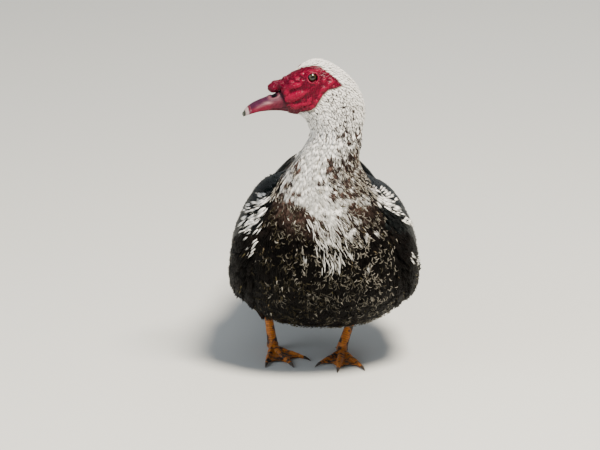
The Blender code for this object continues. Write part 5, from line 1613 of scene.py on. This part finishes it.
def remeshed(name, points, faces, finish, voxel, factor, repeats):
    """One smoothed outer skin over closed parts that cross."""
    rough = mesh_piece("rough_" + name, points, faces, finish)
    remesh = rough.modifiers.new("remesh", "REMESH")
    remesh.mode, remesh.voxel_size = "VOXEL", voxel
    relax = rough.modifiers.new("relax", "SMOOTH")
    relax.factor, relax.iterations = factor, repeats
    return finished_mesh(rough, name)


def mesh_points(mesh, key="co"):
    values = np.empty(len(mesh.vertices) * 3, np.float32)
    mesh.vertices.foreach_get(key, values)
    return values.reshape(-1, 3).astype(float)


def move_points(mesh, points):
    mesh.vertices.foreach_set("co", points.astype(np.float32).ravel())
    mesh.update()


def head_points(places):
    """World points of many head places at once."""
    return ORIGIN + (places * HEAD_UNIT) @ HEAD_AXES


ball_points, ball_faces = ball_shape(32, 20)
balls = [(head_points(ball_points * ball[3:] + ball[:3]), ball_faces) for ball in np.array(KNOBS)]
knob_points, knob_faces = joined(balls)
knob = remeshed("knob", shifted(knob_points), knob_faces, skin_finish, KNOB_VOXEL, 0.6, 9)
spots = mesh_points(knob.data)
lumps, fine = clouds(spots, 0.0038, 4.0) - 0.5, clouds(spots, 0.0014, 9.0) - 0.5
move_points(knob.data, spots + mesh_points(knob.data, "normal") * (lumps * 0.0011 + fine * 0.0005)[:, None])
# The lower places between the knob's lumps get painted crease shade through their raised value.
dress_skin(knob, 1, 0.0014 + lumps * 0.0014, 0.75, PLUME["russet"])
print("knob", len(spots), "points")
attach(knob, "root")

# %% [markdown]
# ## Eyes and lids
#
# The eye is a ball with a clear wet surface, an olive-brown iris and a dark pupil that looks along
# the ball's own axis. Each point keeps its angle from that axis as an attribute, so the rings of
# the eye stay in place on both sides. A soft rim of skin closes round it.

# %% Eye material
eye_finish, tree, _ = new_material("wet_eye")
gaze = add(tree, "Attribute", attribute_name="gaze").outputs["Vector"]
from_axis = add(tree, "SeparateXYZ", {0: gaze}).outputs[0]
fibres = add(tree, "TexNoise", {
    "Vector": add(tree, "VectorMath", {0: gaze, 1: (3.0, 14.0, 14.0)}, operation="MULTIPLY"), "Scale": 1.0,
    "Detail": 2.0,
})
iris = add(tree, "Mix", {0: fibres, 6: linear("#120e05"), 7: linear("#453e1e")}, data_type="RGBA")
with_pupil = add(tree, "Mix", {
    0: add(tree, "MapRange", {0: from_axis, 1: 0.34, 2: 0.4}, interpolation_type="SMOOTHSTEP"), 6: linear("#030303"),
    7: iris,
}, data_type="RGBA")
whole_eye = add(tree, "Mix", {
    0: add(tree, "MapRange", {0: from_axis, 1: 0.6, 2: 0.7}, interpolation_type="SMOOTHSTEP"), 6: with_pupil,
    7: linear("#160c0a"),
}, data_type="RGBA")
shader = add(tree, "BsdfPrincipled", {
    "Base Color": whole_eye, "Roughness": 0.12, "Coat Weight": 1.0, "Coat Roughness": 0.02, "Coat IOR": 1.38,
    "IOR": 1.38,
})
add(tree, "OutputMaterial", {"Surface": shader})

# %% Eyes and lids
# Folds of the rim: distance from the eye's axis, half thickness, how far out, half height.
LID_RINGS = ((6.5, 1.05, 4.9, 1.2), (8.3, 0.75, 4.1, 0.9), (9.9, 0.6, 3.3, 0.75))
LID_AROUND, LID_ACROSS = 72, 10


def lid_ring(centre, outward, radius, thick, out, high):
    """A closed soft fold round the eye, drawn out a little at its two corners."""
    points, faces = [], []
    for i in range(LID_AROUND):
        a = 2 * pi * i / LID_AROUND
        corner = 1 + 0.10 * max(0, -cos(a)) ** 6 + 0.07 * max(0, cos(a)) ** 6
        spoke = HEAD_AXES[0] * cos(a) * 1.06 * corner + HEAD_AXES[2] * sin(a) * 0.92
        wobble = 1 + 0.07 * sin(5 * a + radius) + 0.04 * sin(11 * a)
        for j in range(LID_ACROSS):
            b = 2 * pi * j / LID_ACROSS
            reach = radius + thick * wobble * cos(b)
            fall = 0.022 * (max(0, reach * cos(a)) ** 2 + max(0, reach * sin(a)) ** 2)
            points.append(centre + (spoke * reach + outward * (out - fall + high * wobble * sin(b))) * HEAD_UNIT)
            here, ahead, m = i * LID_ACROSS, (i + 1) % LID_AROUND * LID_ACROSS, (j + 1) % LID_ACROSS
            faces.append((here + j, ahead + j, ahead + m, here + m))
    return np.array(points), faces


eye_points, eye_faces = ball_shape(48, 32)
lid_parts = []
for side, label in ((1, "left"), (-1, "right")):
    centre = head_place(0, side * EYE_SIDE, 0)
    bulge = 1 + 0.06 * np.maximum(0, (eye_points @ np.array((0, side, 0))) - 0.75) / 0.25
    placed = centre + (eye_points * bulge[:, None] * EYE_RADIUS * HEAD_UNIT) @ HEAD_AXES
    eye = mesh_piece(f"eyeball_{label}", shifted(placed), eye_faces, eye_finish)
    face_outward(eye.data)
    facing = np.arccos(np.clip(eye_points[:, 1] * side, -1, 1))
    spoke = np.arctan2(eye_points[:, 2], eye_points[:, 0])
    store(eye.data, "gaze", "FLOAT_VECTOR", np.stack([facing, np.cos(spoke), np.sin(spoke)], -1))
    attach(eye, "root")
    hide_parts(f"eye_{label}")
    lid_parts += [lid_ring(centre, HEAD_AXES[1] * side, *ring) for ring in LID_RINGS]
lid_points, lid_faces = joined(lid_parts)
lids = mesh_piece("lids", shifted(lid_points), lid_faces, skin_finish)
face_outward(lids.data)
dress_skin(lids, 1, 0.0012, 0.35, PLUME["russet"])
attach(lids, "root")

# %% [markdown]
# ## The bill
#
# The upper bill is an arch of skin-covered bone from the knob to a hard hooked nail. It is lofted
# ring by ring from a table of its ridge, mouth line and width. The nostrils are pits pressed into
# the loft, each with a soft raised rim, and low folds run from the mouth's corner along its edge.

# %% Bill shape
BILL_ROWS = np.array((
    # forward, ridge up, mouth line up, underside up, half width
    (35.0, -17.0, -36.0, -47.0, 14.5), (44.0, -22.0, -38.5, -44.2, 13.0), (54.0, -26.3, -40.0, -43.2, 12.3),
    (64.0, -30.5, -41.4, -43.6, 12.8), (72.0, -34.6, -43.2, -45.2, 12.4), (78.5, -39.6, -46.0, -47.8, 8.6),
    (82.5, -44.5, -49.0, -49.5, 3.6),
))
BILL_BASE, BILL_BASE_TOP, BILL_BASE_SLANT = 34.5, -9.5, 0.3117
NAIL_FROM, LOWER_BILL_TO = 74.5, 76.5
NOSTRIL, NOSTRIL_SIZE, NOSTRIL_TILT = (44.3, 9.0, -24.2), (3.6, 3.4, 1.35), radians(-22)
NAIL_RINGS, NAIL_ARCH, PALATE_POINTS = 24, 40, 11


def bill_rows(forwards):
    """Rows of the bill at places along it."""
    steps = np.linspace(0, len(BILL_ROWS) - 1, 400)
    return between_rows(BILL_ROWS, np.interp(forwards, between_rows(BILL_ROWS, steps)[:, 0], steps))


def bill_grid(forwards, end, outline):
    """Head places of bill rings, slanted at the base, with each ring's outline drawn from its row."""
    places = np.array([outline(row) for row in bill_rows(forwards)])
    slants = BILL_BASE_SLANT * np.maximum(0, 1 - 1.6 * (forwards - BILL_BASE) / (end - BILL_BASE))
    ahead = forwards[:, None] + slants[:, None] * (places[..., 1] - BILL_BASE_TOP)
    return np.stack([ahead, places[..., 0], places[..., 1]], -1)


def upper_outline(row, around=56):
    _, ridge, mouth, _, half = row
    angles = np.linspace(0, pi, around)
    arch = np.stack([np.cos(angles) * half, mouth + (ridge - mouth) * np.sin(angles) ** 0.85], -1)
    shares = np.linspace(-0.9, 0.9, PALATE_POINTS)
    palate = np.stack([shares * half, mouth + 0.10 * (ridge - mouth) * (1 - np.abs(shares)) + 0.2], -1)
    return np.concatenate([arch, palate])


def lower_outline(row, around=24):
    _, _, mouth, under, half = row
    half, top = half * 0.86, mouth - 0.5
    under = min(under, top - 1.2)
    shares = np.linspace(1, -1, 9)
    floor_line = np.stack([shares * half, np.full(9, top)], -1)
    angles = np.linspace(pi, 2 * pi, around)[1:-1]
    trough = np.stack([np.cos(angles) * half * 0.95, top + (top - under) * np.sin(angles)], -1)
    return np.concatenate([floor_line, trough])


# %% Bill materials
bill_skin, tree, place = new_material("leathery_bill_skin")
spot = add(tree, "Attribute", attribute_name="spot").outputs["Vector"]
part = add(tree, "SeparateXYZ", {0: spot}).outputs
blotch = add(tree, "TexNoise", {"Vector": place, "Scale": 210.0, "Detail": 3.0})
grain = add(tree, "TexNoise", {
    "Vector": add(tree, "VectorMath", {0: spot, 1: (5.0, 30.0, 1.0)}, operation="MULTIPLY"), "Scale": 1.0,
    "Detail": 3.0,
})
sides = add(tree, "Mix", {
    0: add(tree, "MapRange", {0: part[0], 1: 0.0, 2: 0.75}), 6: linear("#480a20"), 7: linear("#5e0220")
}, data_type="RGBA")
# The ridge is darker, as the bill is along its top, and more purple, which is a painted lilac reflection of the sky.
ridged = add(tree, "Mix", {
    0: add(tree, "MapRange", {0: part[1], 1: 0.35, 2: 0.85}, interpolation_type="SMOOTHSTEP"), 6: sides,
    7: linear("#3a102a"),
}, data_type="RGBA")
paled = add(tree, "Mix", {0: part[2], 6: ridged, 7: linear("#965f64")}, data_type="RGBA")
# Random blotches of tone, and painted shade deep in the nostril pits.
blotch_and_pit_shade = add(tree, "Math", {
    0: add(tree, "MapRange", {0: blotch, 1: 0.3, 2: 0.7, 3: 0.78, 4: 1.15}),
    1: add(tree, "MapRange", {0: part[2], 1: -1.0, 2: -0.2, 3: 0.02, 4: 1.0}),
}, operation="MULTIPLY")
bump = add(tree, "Bump", {"Height": grain, "Distance": 0.0003, "Strength": 0.5})
shader = add(tree, "BsdfPrincipled", {
    "Base Color": add(tree, "VectorMath", {0: paled, 1: blotch_and_pit_shade}, operation="MULTIPLY"), "Roughness": 0.46,
    "Normal": bump, "Subsurface Weight": 0.08, "Subsurface Radius": (0.9, 0.3, 0.25), "Subsurface Scale": 0.002,
    "IOR": 1.45, "Specular IOR Level": 0.32,
})
add(tree, "OutputMaterial", {"Surface": shader})

horn_finish, tree, place = new_material("bill_nail_horn")
cloud = add(tree, "TexNoise", {"Vector": place, "Scale": 260.0, "Detail": 3.0})
dark_horn = add(tree, "Mix", {0: cloud, 6: linear("#1b1e18"), 7: linear("#454a3c")}, data_type="RGBA")
ragged = add(tree, "Math", {
    0: cloud, 1: 0.35, 2: add(tree, "Attribute", attribute_name="root_share").outputs["Fac"]
}, operation="MULTIPLY_ADD")
worn_horn = add(tree, "Mix", {
    0: add(tree, "MapRange", {0: ragged, 1: 0.42, 2: 0.64}, interpolation_type="SMOOTHSTEP"), 6: dark_horn,
    7: linear("#a3918f"),
}, data_type="RGBA")
reddened = add(tree, "Mix", {
    0: add(tree, "MapRange", {0: ragged, 1: 1.25, 2: 1.75}, interpolation_type="SMOOTHSTEP"), 6: worn_horn,
    7: linear("#540822"),
}, data_type="RGBA")
bump = add(tree, "Bump", {"Height": cloud, "Distance": 0.0003, "Strength": 0.4})
shader = add(tree, "BsdfPrincipled", {"Base Color": reddened, "Roughness": 0.36, "Normal": bump, "IOR": 1.54})
add(tree, "OutputMaterial", {"Surface": shader})


# %% Make the bill
def hump(values, middle, spread):
    return np.exp(-(((values - middle) / spread) ** 2))


def bill_spots(ahead, share, pale):
    """What the bill's material reads: how far along, how far up, and how pale or how deep in a pit, where the pit's
    depth is painted as shade.
    """
    along = (ahead - BILL_BASE) / (NAIL_FROM - BILL_BASE)
    return with_ends(np.stack([along, share, np.clip(pale, -1, 1)], -1))


forwards = np.linspace(BILL_BASE, NAIL_FROM + 0.2, 110)
places = bill_grid(forwards, NAIL_FROM, upper_outline)
_, ridge, mouth, _, _ = bill_rows(forwards).T[:, :, None]
ahead, across, up = np.moveaxis(places, -1, 0)
share_up = (up - mouth) / (ridge - mouth)
tilt_cos, tilt_sin = cos(NOSTRIL_TILT), sin(NOSTRIL_TILT)
df, du = ahead - NOSTRIL[0], up - NOSTRIL[2]
slot = np.hypot((df * tilt_cos + du * tilt_sin) / NOSTRIL_SIZE[0], (-df * tilt_sin + du * tilt_cos) / NOSTRIL_SIZE[2])
pit = smooth((1.15 - slot) / 0.5)
pale = 0.7 * hump(ahead, 52.5, 4.2) * hump(up, -32.0, 1.3) + 0.15 * hump(ahead, 40.0, 4.0) * hump(up, -26.5, 5.0)
pale += 0.40 * hump(slot, 1.9, 0.5) + 0.35 * smooth((ahead - 73.5) / 2.0) * smooth((share_up - 0.05) / 0.3)
folds = 0.55 * np.cos(up * 2 * pi / 2.3 + 1.0) * smooth((58 - ahead) / 14) * smooth((0.62 - share_up) / 0.3)
keel = 0.35 * hump(across, 0, 1.6) * smooth((share_up - 0.7) / 0.2)
push = (folds + 0.6 * hump(slot, 1.7, 0.45) - 3.0 * pit + keel) * (share_up > 0.02)
radial = unit(np.stack([np.zeros_like(up), across, up - (mouth * 0.55 + ridge * 0.45)], -1))
upper_bill = closed_tube("bill_upper_skin", head_points(places + radial * push[..., None]), bill_skin)
# Pale marks, and below zero where the nostril pit is deep, which the material paints as shade.
pits_and_pales = pale * (1 - pit) - smooth((pit - 0.2) / 0.4)
store(upper_bill.data, "spot", "FLOAT_VECTOR", bill_spots(ahead, share_up, pits_and_pales))
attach(upper_bill, "root")
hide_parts("bill_upper")

places = bill_grid(np.linspace(BILL_BASE, LOWER_BILL_TO, 60), LOWER_BILL_TO, lower_outline)
lower_bill = closed_tube("bill_lower_skin", head_points(places), bill_skin)
plain = np.zeros(places.shape[:2])
store(lower_bill.data, "spot", "FLOAT_VECTOR", bill_spots(places[..., 0], plain, plain))
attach(lower_bill, "root")
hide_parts("bill_lower")

forwards = NAIL_FROM + (BILL_ROWS[-1][0] + 0.6 - NAIL_FROM) * np.linspace(0, 1, NAIL_RINGS) ** 0.8
places = bill_grid(forwards, NAIL_FROM, lambda row: upper_outline(row, NAIL_ARCH))
swell = 1 + 0.035 * np.sin(np.linspace(0.3, pi, NAIL_RINGS))
nail_middle = places.mean(1, keepdims=True)
places = nail_middle + (places - nail_middle) * swell[:, None, None]
nail = closed_tube("bill_nail_horn", head_points(places), horn_finish)
horn_root = np.repeat(np.clip((81.7 - forwards) / 3.4, 0, 2.5), NAIL_ARCH + PALATE_POINTS)
store(nail.data, "root_share", "FLOAT", [*horn_root, 1.0, 0.0])
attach(nail, "root")
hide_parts("bill_nail")

# %% [markdown]
# ## Legs and feet
#
# The shanks and feet are bare and scaled: broad scutes in rows down the front of the shank and over
# the toes, small round scales elsewhere and on the webs. The skin is orange-brown with dark blotches.
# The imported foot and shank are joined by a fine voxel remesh, which rounds them, and each point
# keeps how far along its toe it lies, so that the scutes follow the toes.

# %% Leg material
leg_finish, tree, place = new_material("scaled_leg_skin")
bone = add(tree, "SeparateXYZ", {0: add(tree, "Attribute", attribute_name="bone").outputs["Vector"]}).outputs
# Dark blotches about 9 mm across over the orange skin, and paler orange patches of 4 mm.
blotches = add(tree, "TexNoise", {"Vector": place, "Scale": 110.0, "Detail": 3.0, "Roughness": 0.6})
patches = add(tree, "TexNoise", {"Vector": place, "Scale": 260.0, "Detail": 2.0})
orange = add(tree, "Mix", {0: patches, 6: linear("#a8520e"), 7: linear("#d98a2c")}, data_type="RGBA")
blotched = add(tree, "Mix", {
    0: add(tree, "MapRange", {0: blotches, 1: 0.5, 2: 0.6}, interpolation_type="SMOOTHSTEP"), 6: orange,
    7: linear("#2e2018"),
}, data_type="RGBA")
# Round scales 1.6 mm across, and scutes 2.6 mm long in rows.
scales = add(tree, "TexVoronoi", {"Vector": place, "Scale": 620.0}, feature="DISTANCE_TO_EDGE")
saw = add(tree, "Math", {
    0: add(tree, "Math", {0: patches, 1: 0.5, 2: bone[0]}, operation="MULTIPLY_ADD")
}, operation="FRACT")
scute = add(tree, "Math", {
    0: add(tree, "MapRange", {0: saw, 1: 0.0, 2: 0.25}, interpolation_type="SMOOTHSTEP"),
    1: add(tree, "MapRange", {0: saw, 1: 1.0, 2: 0.85}, interpolation_type="SMOOTHSTEP"),
}, operation="MULTIPLY")
raised = add(tree, "Mix", {
    0: bone[1], 2: add(tree, "MapRange", {0: scales, 1: 0.0, 2: 0.22}, interpolation_type="SMOOTHSTEP"), 3: scute
})
# Painted shade in the grooves between scales and scutes: the lower the scale pattern, the darker the colour.
groove_shaded = add(tree, "MapRange", {0: raised, 1: 0.0, 2: 1.0, 3: 0.45, 4: 1.05})
bump = add(tree, "Bump", {"Height": raised, "Distance": 0.0006, "Strength": 0.8})
shader = add(tree, "BsdfPrincipled", {
    "Base Color": add(tree, "VectorMath", {0: blotched, 1: groove_shaded}, operation="MULTIPLY"), "Roughness": 0.48,
    "Normal": bump, "Subsurface Weight": 0.06, "Subsurface Radius": (0.8, 0.4, 0.2), "Subsurface Scale": 0.0015,
})
add(tree, "OutputMaterial", {"Surface": shader})

claw_horn, tree, place = new_material("worn_claw_horn")
grain = add(tree, "TexNoise", {"Vector": place, "Scale": 420.0, "Detail": 3.0})
bump = add(tree, "Bump", {"Height": grain, "Distance": 0.0002, "Strength": 0.5})
shader = add(tree, "BsdfPrincipled", {
    "Base Color": add(tree, "Mix", {0: grain, 6: linear("#17110c"), 7: linear("#57483a")}, data_type="RGBA"),
    "Roughness": 0.36, "Normal": bump,
})
add(tree, "OutputMaterial", {"Surface": shader})

# %% Legs, feet and claws
LEG_PLACES = {
    # hock x, y, z; heel x, y; heading of the middle toe in degrees from forward to the bird's left
    "right": ((-0.070, 0.018, 0.060), (-0.062, 0.010), 18.0),
    "left": ((0.040, 0.006, 0.060), (0.022, -0.008), -4.0),
}
# Length and degrees from the middle toe of the three front toes and the hind toe.
TOES = ((0.056, -25.0), (0.071, 0.0), (0.067, 24.0))
HIND_TOE = (0.019, 158.0)
LEG_VOXEL, SCUTE_LENGTH, HEEL_HEIGHT = 0.0006, 0.0026, 0.012


def packed_mesh(node):
    """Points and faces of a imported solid."""
    mesh = frame["nodes"][node].data
    return np.array([v.co for v in mesh.vertices]), [tuple(face.vertices) for face in mesh.polygons]


def toe_lines(side_name):
    """Lines from the heel along each toe and up the shank, as start and end points."""
    hock, heel, heading = LEG_PLACES[side_name]
    outward = -1 if side_name == "left" else 1
    start = np.array((*heel, 0.004))
    toes = [(length, radians(heading) - outward * radians(angle), -0.015) for length, angle in TOES]
    toes.append((HIND_TOE[0], radians(heading) + outward * radians(HIND_TOE[1]), 0))
    lines = [(start, start + length * np.array((sin(turn), -cos(turn), drop))) for length, turn, drop in toes]
    return [*lines, (np.array((*heel, HEEL_HEIGHT)), np.array(hock))]


for side_name in ("left", "right"):
    leg_points, leg_faces = joined([packed_mesh(f"foot_{side_name}"), packed_mesh(f"shank_{side_name}")])
    leg = remeshed(f"leg_{side_name}", leg_points, leg_faces, leg_finish, LEG_VOXEL, 0.5, 6)
    spots, normals = mesh_points(leg.data), mesh_points(leg.data, "normal")
    best = np.full(len(spots), 1e9)
    along_bone, near_ridge = np.zeros(len(spots)), np.zeros(len(spots))
    for index, (start, end) in enumerate(toe_lines(side_name)):
        start, end = shifted(start), shifted(end)
        line = end - start
        share = np.clip(((spots - start) @ line) / (line @ line), 0, 1)
        away = np.linalg.norm(spots - start - share[:, None] * line, axis=1)
        nearer = away < best
        best = np.where(nearer, away, best)
        facing = normals[:, 2] if index < 4 else -normals[:, 1]
        along_bone = np.where(nearer, share * np.linalg.norm(line) / SCUTE_LENGTH, along_bone)
        near_ridge = np.where(nearer, smooth((facing - 0.2) / 0.3) * smooth((0.0075 - away) / 0.002), near_ridge)
    spots += normals * (np.sin(along_bone * 2 * pi) * near_ridge * 0.00016)[:, None]
    spots[:, 2] = np.maximum(spots[:, 2], 0)
    move_points(leg.data, spots)
    store(leg.data, "bone", "FLOAT_VECTOR", np.stack([along_bone, near_ridge, np.zeros(len(spots))], -1))
    print(leg.name, len(spots), "points")
    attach(leg, "root")
    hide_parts(f"foot_{side_name}", f"shank_{side_name}")
    for toe in ("inner", "middle", "outer", "hind"):
        for slot in frame["nodes"][f"claw_{side_name}_{toe}"].material_slots:
            slot.material = claw_horn

# %% Feathered thighs
THIGH_RINGS = (
    # height, radius
    (0.041, 0.0080), (0.045, 0.0110), (0.052, 0.0165), (0.060, 0.0205), (0.070, 0.0205), (0.080, 0.0175),
    (0.092, 0.0160),
)
THIGH_FEATHERS = 420


def thigh_place(side_name, heights, turns, inset):
    """Points round the feathered thigh at the given heights, with their outward directions."""
    hock, heel, _ = LEG_PLACES[side_name]
    hock, foot_place = np.array(hock), np.array((*heel, HEEL_HEIGHT))
    top = np.array((hock[0] * 0.9, hock[1] + 0.006, 0.104))
    above = ((heights - hock[2]) / (top[2] - hock[2]))[:, None]
    below = ((hock[2] - heights) / (hock[2] - foot_place[2]))[:, None]
    middle = np.where(above > 0, hock + (top - hock) * above, hock + (foot_place - hock) * below)
    outward = np.stack([np.cos(turns), np.sin(turns), np.zeros_like(turns)], -1)
    return middle + outward * (by_row(THIGH_RINGS, heights) - inset)[:, None], outward


thigh_dice = np.random.default_rng(71)
ring_turns = np.linspace(0, 2 * pi, 40, endpoint=False)
for side_name in ("left", "right"):
    fold_heights = (np.full(40, height) for height in np.linspace(0.092, 0.041, 26))
    rings = [thigh_place(side_name, heights, ring_turns, 0.0022)[0] for heights in fold_heights]
    thigh = closed_tube(f"thigh_skin_{side_name}", np.array(rings), skin_finish)
    dress_skin(thigh, 0, 0, 0, PLUME["soot"])
    heights, turns = thigh_dice.uniform(0.046, 0.090, THIGH_FEATHERS), thigh_dice.uniform(0, 2 * pi, THIGH_FEATHERS)
    root, outward = thigh_place(side_name, heights, turns, 0.0024)
    tip, _ = thigh_place(side_name, np.maximum(heights - 0.012, 0.039), turns, -0.0004)
    size = thigh_dice.uniform(0.8, 1.1, (THIGH_FEATHERS, 1))
    tuft_length = np.interp(heights, (0.046, 0.07), (0.010, 0.017))
    plume = toward(PLUME["soot"], PLUME["umber"], thigh_dice.random(THIGH_FEATHERS)[:, None])
    olive_edge = (thigh_dice.random(THIGH_FEATHERS) < 0.4)[:, None]
    feathers = {
        "point": root, "turn": turns_along(unit(tip - root), outward),
        "grow": sizes_of(0.5 * tuft_length, tuft_length, size),
        "plume": plume, "fringe": np.where(olive_edge, PLUME["olive"], plume),
        "mark": marks(np.full(THIGH_FEATHERS, 0.25), thigh_dice),
        "root": np.stack([0.5 + 0.05 * np.cos(turns), 0.30 + heights, np.zeros(THIGH_FEATHERS)], -1),
    }
    tufts = grow_coat(f"thigh_coat_{side_name}", feathers, body_keratin, 19, 0.0008, 0.2, frayed_shapes)
    for piece in (thigh, tufts):
        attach(piece, "root")
    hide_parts(f"thigh_{side_name}")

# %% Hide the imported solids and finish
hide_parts("torso", "neck_lower", "neck_upper", "head", "face")
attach(skin, "root")
